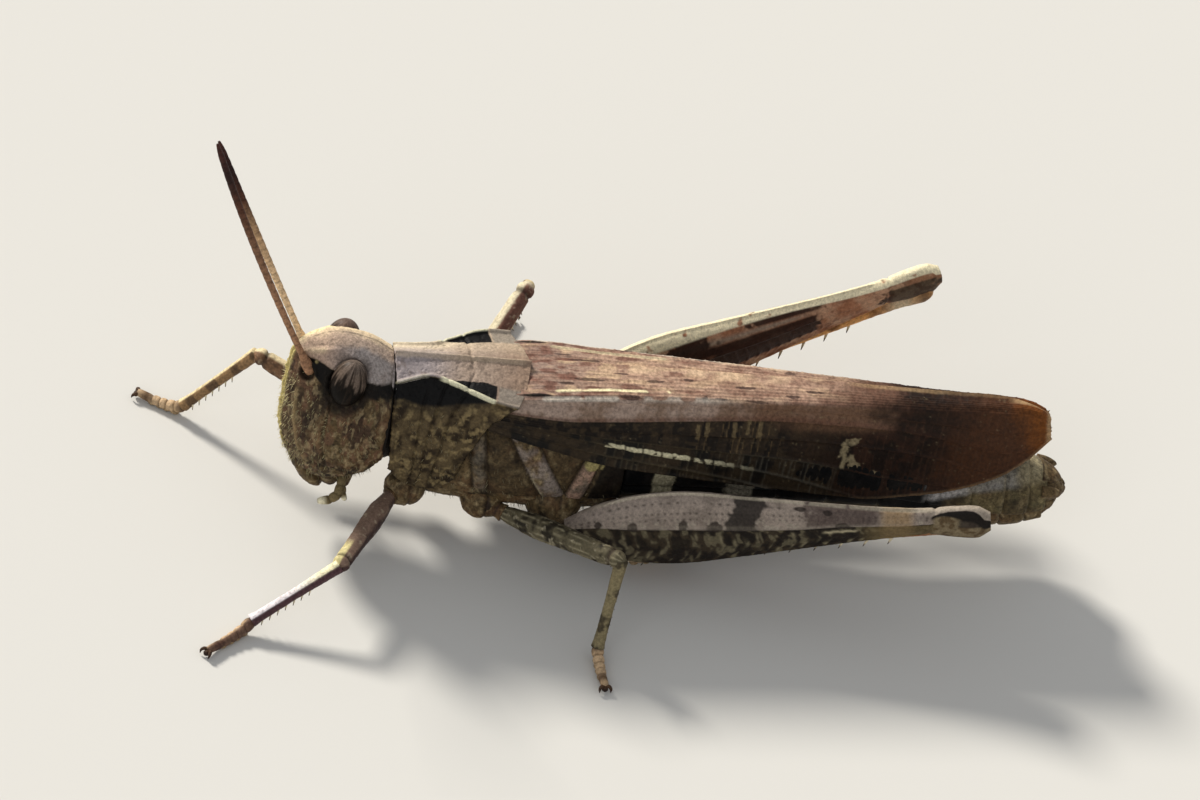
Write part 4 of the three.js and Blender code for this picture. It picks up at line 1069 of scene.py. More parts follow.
def wing_skin(side):
    over = side < 0
    places = np.linspace(WING_START, WING_END, 520)
    top, low = along(wing_top, places), along(wing_low, places)
    fold, hem = along(wing_fold, places), along(wing_hem, places)
    deep, flare = top - low, hem - fold
    inner = -LAP * step(-1.0, 0.5, places) * step(15.2, 13.5, places) if over else 0.02 + 0 * places
    lie = 0.05 if over else -0.04
    knots = np.stack([
        np.stack([inner, top - 0.02 + lie], -1), np.stack([fold * 0.5, top - 0.01 + 0.5 * lie], -1),
        np.stack([fold - 0.12, top - 0.03], -1), np.stack([fold - 0.01, top - 0.13], -1),
        np.stack([fold + flare * 0.35, top - deep * 0.3], -1),
        np.stack([fold + flare * 0.75, top - deep * 0.7], -1), np.stack([hem - 0.02, low + 0.01], -1),
    ], 1)
    run = np.concatenate([np.zeros((len(places), 1)), np.cumsum(
        np.linalg.norm(np.diff(knots, axis=1), axis=-1), axis=1)], axis=1)
    pick = np.linspace(0, 1, 170)
    rows = np.stack([
        np.stack([np.interp(pick * r[-1], r, k[:, 0]), np.interp(pick * r[-1], r, k[:, 1])], -1)
        for r, k in zip(run, knots)
    ])
    for _ in range(8):
        rows[:, 1:-1] = (rows[:, 1:-1] * 2 + rows[:, :-2] + rows[:, 2:]) / 4
    x = places[:, None] + np.zeros(len(pick))
    across = pick * run[:, -1:] + inner[:, None]              # mm from the middle line
    grid = np.stack([x, side * rows[..., 0], rows[..., 1]], -1)
    at_fold = run[:, 3:4] + inner[:, None]
    width = run[:, -1:] - run[:, 3:4]
    q = (across - at_fold) / width

    veins = [share * at_fold + 0 * across for share in back_veins]
    veins += [at_fold + along(pairs, x) * width for pairs in side_veins]
    veins = np.stack(veins)
    strip = np.sum(across > veins, axis=0)
    off_vein = np.abs(across - veins).min(0)
    pitch = 0.16 + 0.14 * chance(strip, 5)
    walk = x / pitch + 0.3 * (across - at_fold) / pitch * 0.3 + 9 * chance(strip, 9)
    cell = np.floor(walk)
    to_next = 1 - (walk - cell) + 0.6 * (chance(strip, cell + 1, side + 2) - 0.5)
    to_last = (walk - cell) - 0.6 * (chance(strip, cell, side + 2) - 0.5)
    off_cross = np.minimum(np.abs(to_next), np.abs(to_last)) * pitch
    cell = cell + (to_next < 0) - (to_last < 0)
    luck = chance(strip, cell, 31 + side)
    netted = step(1.0, 2.6, x)
    vein, cross = ridge(off_vein, VEIN_WIDE), ridge(off_cross, VEIN_WIDE * 0.7) * netted
    on_side = step(-0.03, 0.01, q)
    height = VEIN_HIGH * (0.45 + 0.55 * on_side) * (vein + 0.5 * cross) + 0.03 * ridge(q, 0.03) - 0.02
    height += 0.012 * cloud(grid, 0.3, 101) + 0.03 * step(0.96, 1, q)

    streaks = cloud(np.stack([x * 0.3, across, 0 * x], -1), 0.2, 103, 3)
    patches = cloud(np.stack([x * 0.36, across, 0 * x], -1), 0.22, 104, 3)
    blotch = cloud(grid, 0.6, 105)
    fine = cloud(grid, 0.14, 106, 2)
    back = blend(shade(148, 125, 112), shade(172, 141, 121), step(0, 3, x))
    back = blend(back, shade(132, 98, 82), 0.55 * step(0.0, 0.6, streaks + 0.3 * blotch))
    back = blend(back, shade(204, 175, 142), (0.65 - 0.25 * step(3, 6, x)) * step(0.0, 0.6, patches))
    back = blend(back, shade(108, 70, 58), (0.75 - 0.3 * step(3, 6, x)) * step(0.3, 0.7, -patches))
    back = blend(back, shade(112, 76, 62), 0.35 * step(0.3, 0.7, fine) * step(0.5, 2, x))
    back = blend(back, shade(104, 74, 60), 0.25 * cross + 0.25 * (luck > 0.92) * netted)
    # Painted highlight on the right wing, on the far side, along the back next to the fold.
    far_rim_highlight = step(0.25, 0.05, at_fold - across) * (side > 0) * step(4, 5, x)
    back = blend(back, shade(226, 206, 178), 0.7 * far_rim_highlight * step(-0.5, 0.0, fine))
    # Painted highlight along the left wing's inner edge, at the ridge of the roof.
    lit_edge = step(0.16, -0.1, across) * (side < 0) * step(-0.2, 0.3, cloud(grid, 0.9, 111))
    back = blend(back, shade(222, 192, 158), 0.6 * lit_edge * step(2, 3, x) * step(9.5, 8, x))
    back = blend(back, shade(98, 70, 56), step(7.5, 10.5, x + 0.7 * blotch))
    side_band = blend(shade(154, 134, 121), shade(124, 103, 88), step(-0.5, 0.6, blotch + 0.5 * fine))
    side_band = blend(side_band, shade(100, 72, 53), 0.85 * step(4.2, 7.2, x))
    above_second = ridge((q - along(side_veins[1], x) + 0.02) / 0.035, 1)
    side_band = blend(side_band, shade(92, 62, 48), 0.6 * above_second)
    ladder = blend(shade(24, 18, 13), shade(46, 36, 25), step(0.45, 0.9, luck))
    ladder = blend(ladder, shade(64, 52, 36), 0.5 * step(0.1, 0.7, fine))
    rungs = cross * (chance(strip, cell, 77) > 0.72) * step(4.6, 5.2, x) * step(8, 6.8, x)
    ladder = blend(ladder, shade(98, 80, 54), 0.7 * rungs)
    ladder = blend(ladder, shade(92, 66, 48), 0.7 * step(6.8, 8.6, x + 0.5 * blotch) * step(0.36, 0.22, q))
    ladder = blend(ladder, shade(42, 29, 19), 0.75 * step(7.0, 8.4, x) * step(0.24, 0.36, q))
    lower = blend(shade(48, 38, 26), shade(19, 16, 13), step(-0.4, 0.5, blotch + 0.9 * (luck - 0.5)))
    net = np.maximum(cross * (chance(strip, cell, 91) > 0.4), vein)
    lower = blend(lower, shade(88, 80, 62), 0.3 * net * netted)
    lower = blend(lower, shade(84, 82, 76), 0.28 * net * step(5.5, 7, x))

    second, fourth, fifth = veins[7], veins[9], veins[10]
    paint = blend(back, side_band, on_side)
    paint = blend(paint, ladder, step(second - 0.015, second + 0.02, across))
    paint = blend(paint, lower, step(fourth - 0.02, fourth + 0.02, across))
    for at, off, long, wide in DARK_SPOTS:
        spot = np.hypot((x - at) / long, (across - off) / wide) + 0.35 * fine
        paint = blend(paint, shade(64, 46, 42), 0.8 * step(1.1, 0.8, spot))
    base_spot = ridge((x - 0.1) / 0.5, 1) * ridge((across - 1.12) / 0.07, 1)
    paint = blend(paint, shade(18, 14, 13), 0.9 * step(0.3, 0.6, base_spot))
    broken = step(-0.55, -0.3, cloud(grid, 0.45, 109))
    fold_line = ridge(across - along(FOLD_LINE, x), 0.085) * step(0.15, 0.4, x) * step(2.6, 2.4, x)
    fold_line += 0.6 * ridge(across - along(FOLD_LINE, x), 0.12) * step(3.1, 3.3, x) * step(6.8, 5.0, x)
    pale_fold = step(0.1, 0.7, fold_line) * np.minimum(fold_line + 0.3, 1) * broken
    paint = blend(paint, shade(196, 186, 172), 0.8 * pale_fold)
    back_line = ridge(across - along(BACK_LINE, x), 0.06) * step(0.5, 0.8, x) * step(4.15, 3.9, x)
    paint = blend(paint, shade(232, 220, 178), (0.7 - 0.25 * side) * step(0.3, 0.65, back_line) * broken)
    dashes = 0
    for start, end in DASHES:
        dashes = np.maximum(dashes, step(start - 0.03, start + 0.03, x) * step(end + 0.03, end - 0.03, x))
    dashed = step(0.3, 0.6, ridge(across - fifth + 0.03 * fine, 0.075)) * dashes * step(7.6, 4.4, x)
    paint = blend(paint, shade(200, 192, 160), 0.95 * dashed * step(-0.7, -0.3, fine))
    for at, off in PALE_RUNGS:
        rung = step(0.07, 0.045, np.abs(x - at - 0.03 * fine)) * step(0.11, 0.08, np.abs(q - off + 0.12))
        paint = blend(paint, shade(112, 96, 68), 0.6 * rung)

    far_end = step(9.7, 10.9, x + 0.5 * blotch + 1.2 * step(0.18, 0.34, q) - 0.6 * step(0.05, -0.3, q))
    end_paint = blend(shade(44, 26, 17), shade(24, 14, 9), step(-0.5, 0.4, blotch + 0.4 * fine))
    reddened = step(11.8, 13.8, x + 0.7 * blotch + 0.6 * (q - 0.3))
    end_paint = blend(end_paint, shade(74, 43, 22), 0.7 * reddened)
    end_paint = blend(end_paint, shade(88, 60, 42), 0.22 * np.maximum(cross, vein) * step(0.4, 0.8, luck))
    paint = blend(paint, end_paint, 0.95 * far_end)
    mark = 0
    wander = 0.12 * cloud(grid, 0.3, 110)
    for start, end, upper, under in PALE_MARK:
        bar = step(start - 0.08, start + 0.06, x + wander) * step(end + 0.08, end - 0.06, x + wander)
        bar *= step(upper - 0.03, upper + 0.02, q + 0.2 * wander)
        bar *= step(under + 0.03, under - 0.02, q + 0.2 * wander)
        mark = np.maximum(mark, bar)
    paint = blend(paint, shade(146, 132, 102), 0.75 * step(0.3, 1.0, mark + 0.5 * cloud(grid, 0.1, 107)))
    tip = step(13.9, 15.1, x + 0.3 * blotch - 0.6 * q)
    paint = blend(paint, shade(116, 66, 22), 0.85 * tip)
    to_inner = run[:, -1:] + inner[:, None] - across
    rim = np.maximum(0.3 * step(0.07, 0.02, to_inner) * step(8, 13, x), step(15.12, 15.26, x))
    lap_rim = step(-0.1, -0.2, across) * step(9, 10, x) * (0.6 - 0.35 * step(11.5, 12.5, x))
    tip_rim = step(0.06, -0.06, across) * step(13.9, 14.4, x)
    rim = np.maximum(rim, np.maximum(lap_rim, tip_rim))
    paint = blend(paint, shade(178, 148, 110), 0.75 * rim)
    return sheet(lifted(grid, height, closed=False), SKIN, paint)


wing_horn = horn("wing_skin", grain=0.1, contrast=0.3, roughness=0.55, relief=0.006, specks=0.12)
for side, side_name in ((1, "right"), (-1, "left")):
    piece(f"wing_{side_name}", [wing_skin(side)], wing_horn, [f"tegmen_{side_name}"])

# ---------------------------------------------------------------- legs
# Three pairs of jointed horn legs: a rounded hip with a small second joint, a thigh, a thin shin with
# two rows of spines, and a foot of three joints with pads, two claws and a lobe between them. The
# hind thighs are deep and flat, edged with keels and crossed by slanting ribs.
HIND_SPINES = 11
SMALL_SPINES = 7
PAD_HIGH = 0.08                       # mm, half the thickness of a pad under the foot
THIGH_LONG = 11.6                     # mm, of a hind thigh
legs = {                              # hip, second joint, knee, ankle, toe
    "front_left": [
        (-3.05, -1.0, 1.85), (-3.5, -1.35, 1.75), (-5.21, -4.5, 1.85),
        (-7.6, -5.5, 0.42), (-9.0, -6.7, 0.25),
    ],
    "front_right": [
        (-3.05, 1.0, 1.85), (-3.6, 1.35, 1.8), (-7.25, 2.95, 2.95),
        (-8.95, 3.3, 0.42), (-10.3, 4.0, 0.25),
    ],
    "middle_left": [
        (-0.85, -1.3, 1.85), (-0.2, -1.72, 1.75), (2.75, -4.75, 3.05),
        (2.45, -5.6, 0.42), (2.6, -7.1, 0.25),
    ],
    "middle_right": [
        (-1.1, 1.3, 1.85), (-1.75, 1.85, 2.05), (0.68, 5.35, 4.15),
        (0.5, 6.8, 0.45), (1.22, 8.4, 0.25),
    ],
    "hind_left": [
        (1.2, -1.4, 2.1), (1.75, -2.3, 1.82), (13.3, -3.1, 4.1),
        (3.6, -1.65, 0.5), (5.75, -1.15, 0.27),
    ],
    "hind_right": [
        (1.2, 1.4, 2.1), (1.75, 2.3, 2.5), (12.4, 5.6, 5.5),
        (3.4, 4.25, 0.5), (5.85, 5.2, 0.27),
    ],
}
thigh_rows = {                        # share of the length, half depth, half width, lift
    "front": [
        (0, 0.2, 0.2), (0.08, 0.25, 0.24), (0.3, 0.33, 0.3), (0.7, 0.27, 0.25), (0.93, 0.25, 0.25),
        (0.98, 0.24, 0.25), (1.02, 0.1, 0.12),
    ],
    "middle": [
        (0, 0.2, 0.2), (0.08, 0.26, 0.25), (0.3, 0.35, 0.31), (0.7, 0.29, 0.27), (0.93, 0.27, 0.26),
        (0.98, 0.25, 0.26), (1.02, 0.1, 0.12),
    ],
    "hind": [
        (-0.02, 0.36, 0.26), (0.05, 0.83, 0.43), (0.15, 1.2, 0.54), (0.27, 1.31, 0.56),
        (0.42, 1.08, 0.5), (0.58, 0.8, 0.4), (0.74, 0.54, 0.32), (0.86, 0.44, 0.29),
        (0.93, 0.54, 0.31, -0.04), (0.985, 0.54, 0.31, -0.08), (1.015, 0.3, 0.22, -0.08),
    ],
}
small_shin = [(0, 0.2, 0.2), (0.08, 0.19, 0.19), (0.5, 0.16, 0.16), (0.9, 0.17, 0.17), (1, 0.2, 0.2)]
hind_shin = [
    (0, 0.08, 0.08), (0.008, 0.2, 0.18), (0.02, 0.28, 0.24), (0.04, 0.32, 0.26), (0.12, 0.22, 0.2),
    (0.3, 0.19, 0.19), (0.85, 0.2, 0.2), (0.97, 0.28, 0.27), (1, 0.25, 0.24),
]
# On a hind thigh a place is a share of the length and an angle down from the upper edge.
KEEL_SPOTS = [                        # the near thigh's dark spots: share, angle, half length
    (0.062, 1.0, 0.01), (0.145, 1.13, 0.013), (0.268, 1.15, 0.013), (0.345, 1.2, 0.02),
    (0.555, 0.45, 0.016), (0.655, 1.25, 0.018), (0.62, 0.6, 0.01),
]
INNER_BANDS = [                       # the far thigh's dark bands: from and to share, from and to angle
    (0.28, 0.385, 0.5, 1.25), (0.5, 0.69, 0.42, 0.7), (0.37, 0.68, 1.0, 2.0), (0.86, 1.02, 1.1, 2.6),
]
DOT_ROWS = [(0.45, 0.0205, 0.05), (0.8, 0.0155, 0.04), (0.98, 0.0155, 0.035)]     # angle, pitch, size
FACE_KEEL = [(0.0, 1.0), (0.06, 1.09), (0.16, 1.2), (0.31, 1.257), (0.55, 1.33), (0.65, 1.27), (0.8, 1.3)]
KNEE_ARCH = [(0.86, 1.0), (0.882, 0.62), (0.9, 0.48), (0.94, 0.4), (0.97, 0.44), (0.985, 0.6), (1.0, 1.0)]
leg_cream = shade(214, 202, 172)
leg_brown = shade(88, 68, 50)
leg_dark = shade(42, 29, 26)
leg_tan = shade(160, 104, 62)


def spike(foot, tip, radius, colour, tip_colour):
    rows = [(0, radius, radius), (0.5, radius * 0.7, radius * 0.7), (1, 0.008, 0.008)]
    grid, share, _ = member(foot, tip, rows, 7, 8, (0.31, 0.17, 0.93))
    return rings(grid, blend(colour, tip_colour, step(0.35, 0.9, share)))


def hip_skin(hip, second, hind):
    radii = np.array([0.83, 0.64, 0.7] if hind else [0.6, 0.54, 0.56])
    rounded, _ = ball(48, 64, 0.03)
    grid = np.array(hip) + radii * np.roll(rounded, 1, axis=-1)
    groove = ridge(grid[..., 0] - hip[0] - 0.12, 0.05)
    height = 0.02 * cloud(grid, 0.16, 121) - 0.06 * groove
    rows = [(0, 0.36, 0.36), (0.55, 0.34, 0.34), (0.75, 0.24, 0.24), (1, 0.27, 0.27)]
    joint, share, _ = member(hip, second, rows, 40, 48)
    return [
        rings(lifted(grid, height), blend(mottled(grid, 123, 0.3), leg_dark, 0.6 * groove)),
        rings(joint, blend(mottled(joint, 125, 0.3), leg_dark, 0.7 * ridge(share - 0.74, 0.06))),
    ]


def small_thigh(name, start, end):
    grid, share, angle = member(start, end, thigh_rows[name.split("_")[0]], 150, 56)
    off_keels = [(angle - at + np.pi) % (2 * np.pi) - np.pi for at in (0.9, 2.3, 4.0, 5.4)]
    height = 0.03 * sum(ridge(off, 0.12) for off in off_keels)
    height *= step(0.1, 0.25, share) * step(0.95, 0.85, share)
    height += 0.012 * cloud(grid, 0.15, 131) - 0.05 * ridge(share - 0.93, 0.012)
    mottle = cloud(grid, 0.3, 133)
    if name == "front_left":
        # Painted shade on the front left thigh's side away from the light, and a painted highlight, pale
        # yellow, on its lit side by the knee.
        shaded_side = step(0.1, -0.4, np.sin(angle + 0.9) + 0.3 * mottle)
        paint = blend(shade(124, 102, 88), shade(66, 48, 46), shaded_side)
        knee_highlight = step(0.7, 0.82, share) * step(0.0, 0.25, np.sin(angle + 0.15))
        paint = blend(paint, shade(208, 197, 142), 0.85 * knee_highlight)
    elif name == "middle_right":
        # Painted shade: the middle right thigh is cream, painted brown on the side away from the light.
        brown_shaded_side = step(-0.7, -0.45, np.sin(angle - 0.6) + 0.06 * mottle) * step(1.03, 0.97, share)
        paint = blend(leg_cream, shade(112, 78, 66), brown_shaded_side)
    elif name == "middle_left":
        paint = blend(shade(92, 85, 66), shade(42, 37, 28), step(-0.1, 0.6, mottle))
        lines = ridge(((angle * 1.6) % 1) - 0.5, 0.16) * step(-0.4, 0.4, cloud(grid, 0.3, 136))
        paint = blend(paint, shade(152, 143, 116), 0.7 * lines)
    else:
        paint = blend(shade(124, 94, 70), leg_dark, 0.7 * step(0.0, 0.6, mottle))
        # Painted highlight: cream along the lit side of the front right thigh.
        paint = blend(paint, shade(232, 214, 172), 0.85 * step(-0.1, 0.3, np.sin(angle + 0.4)))
    paint = blend(paint, leg_cream, 0.3 * step(0.45, 0.7, cloud(grid, 0.12, 139)))
    paint = blend(paint, leg_dark, 0.7 * ridge(share - 0.93, 0.02))
    return rings(lifted(grid, height), paint)


def hind_thigh(name, start, end):
    left = name == "hind_left"
    grid, share, angle = member(start, end, thigh_rows["hind"], 420, 200)
    outer = np.sin(angle) if left else -np.sin(angle)
    level_on = np.cos(angle)
    body = step(0.06, 0.13, share) * step(0.87, 0.8, share)
    depth = along([(row[0], row[1]) for row in thigh_rows["hind"]], share)
    turn = np.arccos(np.clip(level_on, -1, 1))
    belt = along(FACE_KEEL, share)
    keels = [(0.0, 0.06, 0.045), (np.pi, 0.05, 0.045), (belt, 0.05, 0.035), (2.45, 0.05, 0.035)]
    keel = 0
    for at, high, wide in keels:
        keel = np.maximum(keel, high * ridge((turn - at) * depth * 0.8, wide))
    height = keel * body
    slant = share * THIGH_LONG / 0.34 + 0.8 * np.abs(turn - 1.85) * np.where(turn > 1.85, 1.4, 1)
    ribs = ridge((slant % 1) - 0.5, 0.16)
    field = step(belt + 0.03, belt + 0.1, turn) * step(2.42, 2.32, turn) * body * step(0.76, 0.66, share)
    height += 0.03 * ribs * field - 0.02 * field
    height += 0.008 * cloud(grid, 0.15, 141)
    knee_seam = ridge(share - 0.872 - 0.01 * level_on, 0.005)
    height -= 0.04 * knee_seam
    arch = along(KNEE_ARCH, share)
    thick = along([(0.87, 0.26), (0.91, 0.42), (0.95, 0.8)], share)
    crescent = step(arch - 0.06, arch + 0.02, turn) * step(arch + thick, arch + thick - 0.2, turn)
    crescent *= step(0.866, 0.875, share)
    crescent = np.maximum(crescent, step(0.98, 0.99, share) * step(0.5, 0.6, turn) * step(1.5, 1.35, turn))

    blotch = cloud(grid, 0.5, 143)
    fine = cloud(grid, 0.15, 144, 2)
    if left:
        upper = blend(shade(146, 133, 122), shade(126, 114, 104), step(-0.2, 0.6, blotch))
        upper = blend(upper, shade(156, 146, 132), 0.6 * step(0.15, 0.6, fine) * step(0.75, 1.1, turn))
        for row_at, gap, size in DOT_ROWS:
            off_dot = ((share / gap) % 1 - 0.5) * gap * THIGH_LONG
            dot = ridge(off_dot, size) * ridge((turn - row_at) * depth, size * 1.2)
            upper = blend(upper, shade(52, 44, 40), 0.75 * dot * step(-0.6, 0.1, cloud(grid, 0.4, 145)))
        lower = blend(shade(54, 45, 33), shade(32, 25, 19), step(-0.4, 0.4, blotch + 0.6 * fine))
        pale_ribs = ribs * field * step(-0.3, 0.5, cloud(grid, 0.35, 147))
        lower = blend(lower, shade(140, 130, 104), 0.7 * pale_ribs)
        slanted = cloud(np.stack([slant * 0.3, turn * 0.5, 0 * turn], -1), 0.16, 148, 2)
        lower = blend(lower, shade(112, 104, 82), 0.6 * step(0.1, 0.5, slanted))
        lower = blend(lower, shade(22, 17, 13), 0.7 * step(0.25, 0.6, -slanted))
        paint = blend(upper, lower, step(belt - 0.02, belt + 0.02, turn))
        paint = blend(paint, shade(146, 120, 86), 0.75 * step(0.735, 0.765, share) * step(0.84, 0.81, share))
        paint = blend(paint, shade(98, 84, 56), 0.7 * step(0.68, 0.74, share) * step(belt, belt + 0.1, turn))
        dusk = step(0.555, 0.58, share + 0.02 * fine) * step(0.76, 0.73, share)
        paint = blend(paint, shade(74, 61, 57), 0.8 * dusk * step(belt, belt - 0.1, turn))
        off_band = np.abs(share - 0.42 - 0.012 * np.sin(turn * 4)) / 0.038 + 0.25 * fine
        dark_band = step(1.15, 0.85, off_band) * step(belt + 0.1, belt - 0.05, turn)
        paint = blend(paint, shade(34, 29, 26), 0.9 * dark_band)
        for at, high, long in KEEL_SPOTS:
            spot = np.hypot((share - at) / long, (turn - high) / 0.15) + 0.3 * fine
            paint = blend(paint, shade(40, 32, 28), 0.85 * step(1.15, 0.8, spot))
        pale_dash = ridge((turn - belt - 0.3) / 0.07, 1) * step(0.6, 0.62, share) * step(0.7, 0.68, share)
        paint = blend(paint, shade(190, 178, 146), 0.7 * pale_dash)
        paint = blend(paint, shade(150, 140, 122), 0.2 * ridge((turn - belt + 0.06) / 0.05, 1) * body)
        # The near thigh's upper edge: its own pale keel, partly painted highlight.
        pale_edge_and_highlight = shade(190, 180, 158)
        knee_rim = shade(160, 148, 134)
    else:
        inner_face = blend(shade(160, 108, 78), shade(186, 144, 114), step(-0.2, 0.6, blotch))
        inner_face = blend(inner_face, shade(112, 74, 54), 0.5 * step(0.2, 0.7, fine))
        grey_line = ridge((turn - 0.85) / 0.12, 1) * step(0.68, 0.6, share)
        inner_face = blend(inner_face, shade(150, 138, 122), 0.7 * grey_line)
        outer_face = blend(shade(130, 112, 90), leg_brown, 0.7 * ribs * field)
        paint = blend(inner_face, outer_face, step(-0.1, 0.2, outer))
        ragged = share - 0.03 * fine
        for start_at, end_at, high, low_edge in INNER_BANDS:
            band = step(start_at - 0.012, start_at + 0.012, ragged)
            band *= step(end_at + 0.02, end_at - 0.02, ragged)
            band *= step(high - 0.08, high + 0.04, turn) * step(low_edge + 0.1, low_edge - 0.06, turn)
            paint = blend(paint, shade(42, 22, 16), 0.93 * band * (outer < 0.2))
        # Painted highlight: the far thigh's upper edge painted nearly white where the light strikes it, and
        # the top of its knee with it.
        pale_edge_and_highlight = shade(238, 226, 190)
        knee_rim = pale_edge_and_highlight
    top_edge = along([(0, 0.5), (0.25, 0.62), (0.5, 0.45), (0.65, 0.45), (0.86, 0.72), (1, 0.72)], share)
    over = step(0.2, 0.09, turn * depth) if left else step(top_edge + 0.05, top_edge - 0.05, turn)
    over *= step(0.02, 0.1, share) * step(-0.9, -0.6, cloud(grid, 0.3, 151))
    paint = blend(paint, pale_edge_and_highlight, (0.45 if left else 0.92) * over)
    knee_paint = blend(shade(120, 106, 82), shade(88, 72, 50), step(-0.3, 0.4, fine))
    paint = blend(paint, knee_paint, step(0.868, 0.882, share) * step(0.5, 0.8, turn) * (1 if left else 0.3))
    if left:
        in_arch = step(arch + 0.5, arch + 0.7, turn) * step(1.6, 1.4, turn) * step(0.93, 0.945, share)
        paint = blend(paint, shade(44, 38, 35), 0.85 * in_arch)
        paint = blend(paint, shade(14, 9, 8), 0.97 * crescent)
    # The top of the knee painted pale; on the far thigh this is the painted highlight of the upper edge.
    paint = blend(paint, knee_rim, 0.85 * step(0.86, 0.88, share) * step(arch - 0.03, arch - 0.12, turn))
    return rings(lifted(grid, height), paint)


def shin_skins(name, knee, ankle):
    hind = name.startswith("hind")
    rows, count, spines = (hind_shin, 260, HIND_SPINES) if hind else (small_shin, 130, SMALL_SPINES)
    grid, share, angle = member(knee, ankle, rows, count, 40)
    height = 0.008 * cloud(grid, 0.12, 161)
    if hind:
        # Painted light: the far hind shin is painted a brighter orange than the near one, since in this
        # light the thigh shades it.
        sunlit = shade(228, 168, 104) if name == "hind_right" else leg_tan
        paint = blend(sunlit, shade(120, 76, 44), 0.8 * step(-0.1, 0.6, cloud(grid, 0.4, 163)))
        paint = blend(paint, leg_dark, 0.8 * ridge((share - 0.03) / 0.03, 1))
        paint = blend(paint, leg_cream, 0.7 * ridge((share - 0.1) / 0.04, 1))
    elif name == "front_left":
        paint = blend(shade(232, 222, 184), shade(222, 214, 216), step(0.1, 0.6, share))
        # Painted shade: the front left shin painted dark on its side away from the light.
        paint = blend(paint, shade(78, 54, 58), step(0.14, -0.08, np.sin(angle + 0.6)))
    elif name == "middle_left":
        bands = step(0.0, 0.5, 0.6 * np.sin(share * 19 + 1) + cloud(grid, 0.22, 165))
        paint = blend(shade(124, 113, 84), shade(48, 41, 31), 0.8 * bands)
    else:
        bands = step(0.1, 0.5, np.sin(share * 21 + 2) + 0.5 * cloud(grid, 0.3, 165))
        paint = blend(shade(132, 104, 72), leg_dark, 0.6 * bands)
        # Painted highlight: cream along the lit side of the shin.
        paint = blend(paint, shade(226, 208, 164), 0.85 * step(0.0, 0.3, np.sin(angle + 0.5)))
    skins = [rings(lifted(grid, height), paint)]
    knee, ankle = np.array(knee, float), np.array(ankle, float)
    axis = ankle - knee
    ahead = unit(axis)
    side = unit(np.cross(axis, (0, 0, 1)))
    up = unit(np.cross(side, ahead))
    for row in (-1, 1):
        for k in range(spines):
            if hind:
                at = 0.26 + 0.68 * k / (spines - 1) + 0.02 * (row > 0)
                long = 0.75 * (0.2 + 0.14 * k / spines)
                below, aside, spread, radius = 0.14, 0.11, 0.1, 0.045
            else:
                at = 0.36 + 0.09 * k
                long = 0.12
                below, aside, spread, radius = 0.1, 0.1, 0.06, 0.03
            foot = knee + axis * at - up * below + side * row * aside
            tip = foot + (ahead - up) * long + side * row * spread
            skins.append(spike(foot, tip, radius, leg_cream, leg_dark))
        for low in (0.25, 0.0) if hind else ():
            foot = ankle - ahead * 0.06 + side * row * 0.17 - up * (0.1 + low * 0.3)
            tip = foot + ahead * (0.3 + low) - up * 0.12 + side * row * 0.1
            skins.append(spike(foot, tip, 0.05, leg_cream, leg_dark))
    return skins


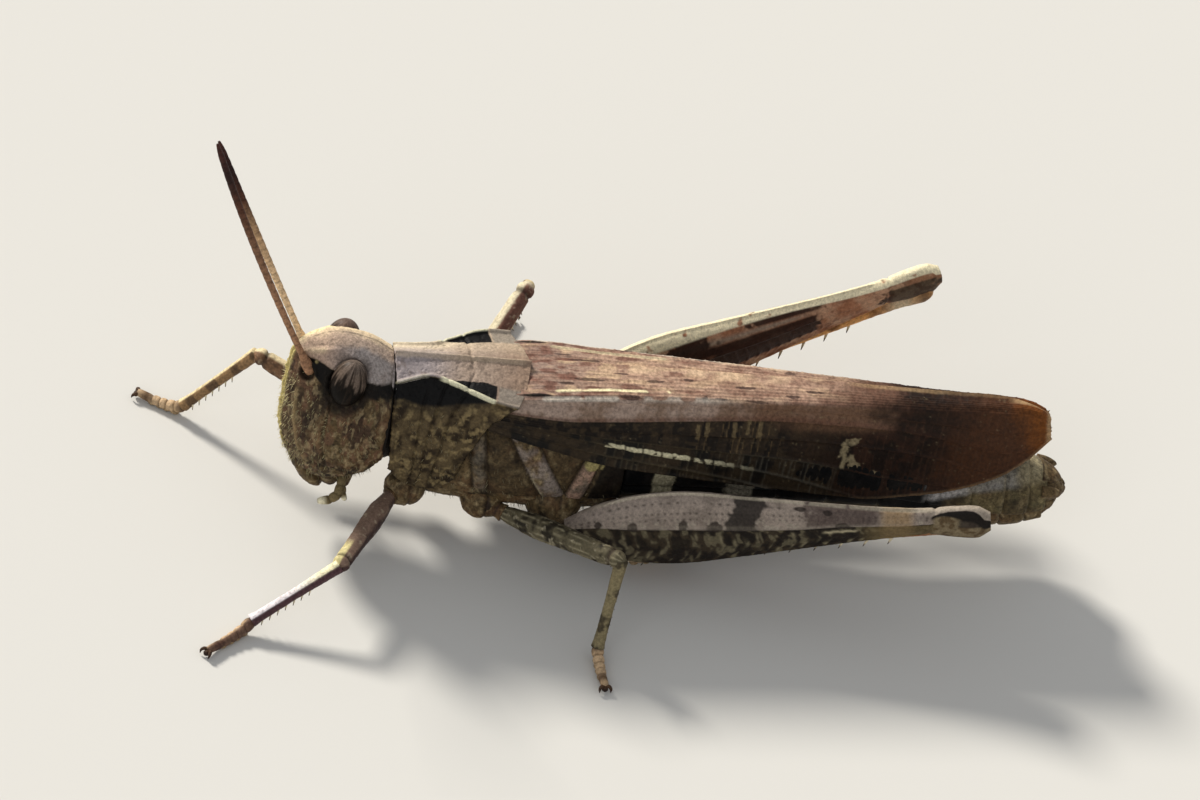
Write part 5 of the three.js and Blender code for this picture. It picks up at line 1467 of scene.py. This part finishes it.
def foot_skins(name, ankle, toe):
    ankle, toe = np.array(ankle, float), np.array(toe, float)
    ahead = unit((toe - ankle) * (1, 1, 0))
    side = np.array([-ahead[1], ahead[0], 0])
    long = np.linalg.norm((toe - ankle)[:2])

    def on_floor(share, z, aside=0.0):
        flat = ankle + ahead * share * long + side * aside
        return (flat[0], flat[1], z)

    skins = []
    sole = [(0, 0.17), (0.12, 0.18), (0.5, 0.15), (0.68, 0.14), (0.9, 0.12), (1, 0.13)]
    route = [
        on_floor(-0.02, ankle[2] - 0.02), on_floor(0.12, 0.26), on_floor(0.3, 0.19), on_floor(0.55, 0.17),
        on_floor(0.7, 0.17), on_floor(0.86, 0.2), on_floor(0.93, 0.2),
    ]
    pale, dark = shade(190, 162, 128), shade(84, 62, 44)
    tints = [(0, dark), (0.2, pale), (0.6, pale), (0.8, dark), (1, pale)]
    end_tints = [(0, dark), (1, leg_dark)]
    points, faces, colours = jointed(route, sole, [0, 0.2, 0.38, 0.52, 0.68, 1], tints, 24, 9, 0.3)
    points[:, 2] = np.maximum(points[:, 2], 0.004)
    # Painted shade: the near side of the front left foot, away from the light, painted dark.
    if name == "front_left":
        colours = blend(colours, shade(78, 52, 46), 0.85 * step(-0.07, 0.0, (points - ankle) @ side))
    skins.append((points, faces, colours))
    for share, wide in ((0.14, 0.13), (0.3, 0.14), (0.44, 0.14), (0.6, 0.13)):
        pad = ball(14, 24, 0.05)[0] * (0.15, wide, PAD_HIGH)
        pad = on_floor(share, PAD_HIGH) + pad @ np.array([ahead, side, (0, 0, 1)])
        pad[..., 2] = np.maximum(pad[..., 2], 0.0)
        skins.append(plain(pad, shade(150, 128, 98)))
    for row in (-1, 1):
        claw = [
            on_floor(0.9, 0.2, row * 0.04), on_floor(0.95, 0.21, row * 0.13),
            on_floor(0.985, 0.16, row * 0.17), on_floor(1.0, 0.06, row * 0.16),
        ]
        skins.append(jointed(claw, [(0, 0.06), (0.5, 0.05), (1, 0.012)], [0, 1], end_tints, 12, 14, 0))
    lobe = [on_floor(0.9, 0.17), on_floor(0.96, 0.12), on_floor(0.995, 0.1)]
    skins.append(jointed(lobe, [(0, 0.06), (0.7, 0.09), (1, 0.04)], [0, 1], end_tints, 16, 14, 0))
    return skins


leg_horn = horn("leg_horn", grain=0.08, contrast=0.22, roughness=0.58, specks=0.3)
shin_horn = horn("shin_horn", grain=0.09, contrast=0.3, roughness=0.5, specks=0.3)
for name, (hip, second, knee, ankle, toe) in legs.items():
    hind = name.startswith("hind")
    piece(f"hip_{name}", hip_skin(hip, second, hind), body_horn, [f"coxa_{name}"])
    thigh = hind_thigh(name, second, knee) if hind else small_thigh(name, second, knee)
    piece(f"thigh_{name}", [thigh], leg_horn, [f"femur_{name}"])
    droop = (0.05, -0.1, -0.45) if name == "hind_right" else (0.05, 0, -0.18)
    shin_start = tuple(np.add(knee, droop)) if hind else knee
    piece(f"shin_{name}", shin_skins(name, shin_start, ankle), shin_horn, [f"tibia_{name}"])
    piece(f"foot_{name}", foot_skins(name, ankle, toe), shin_horn, [f"tarsus_{name}"])
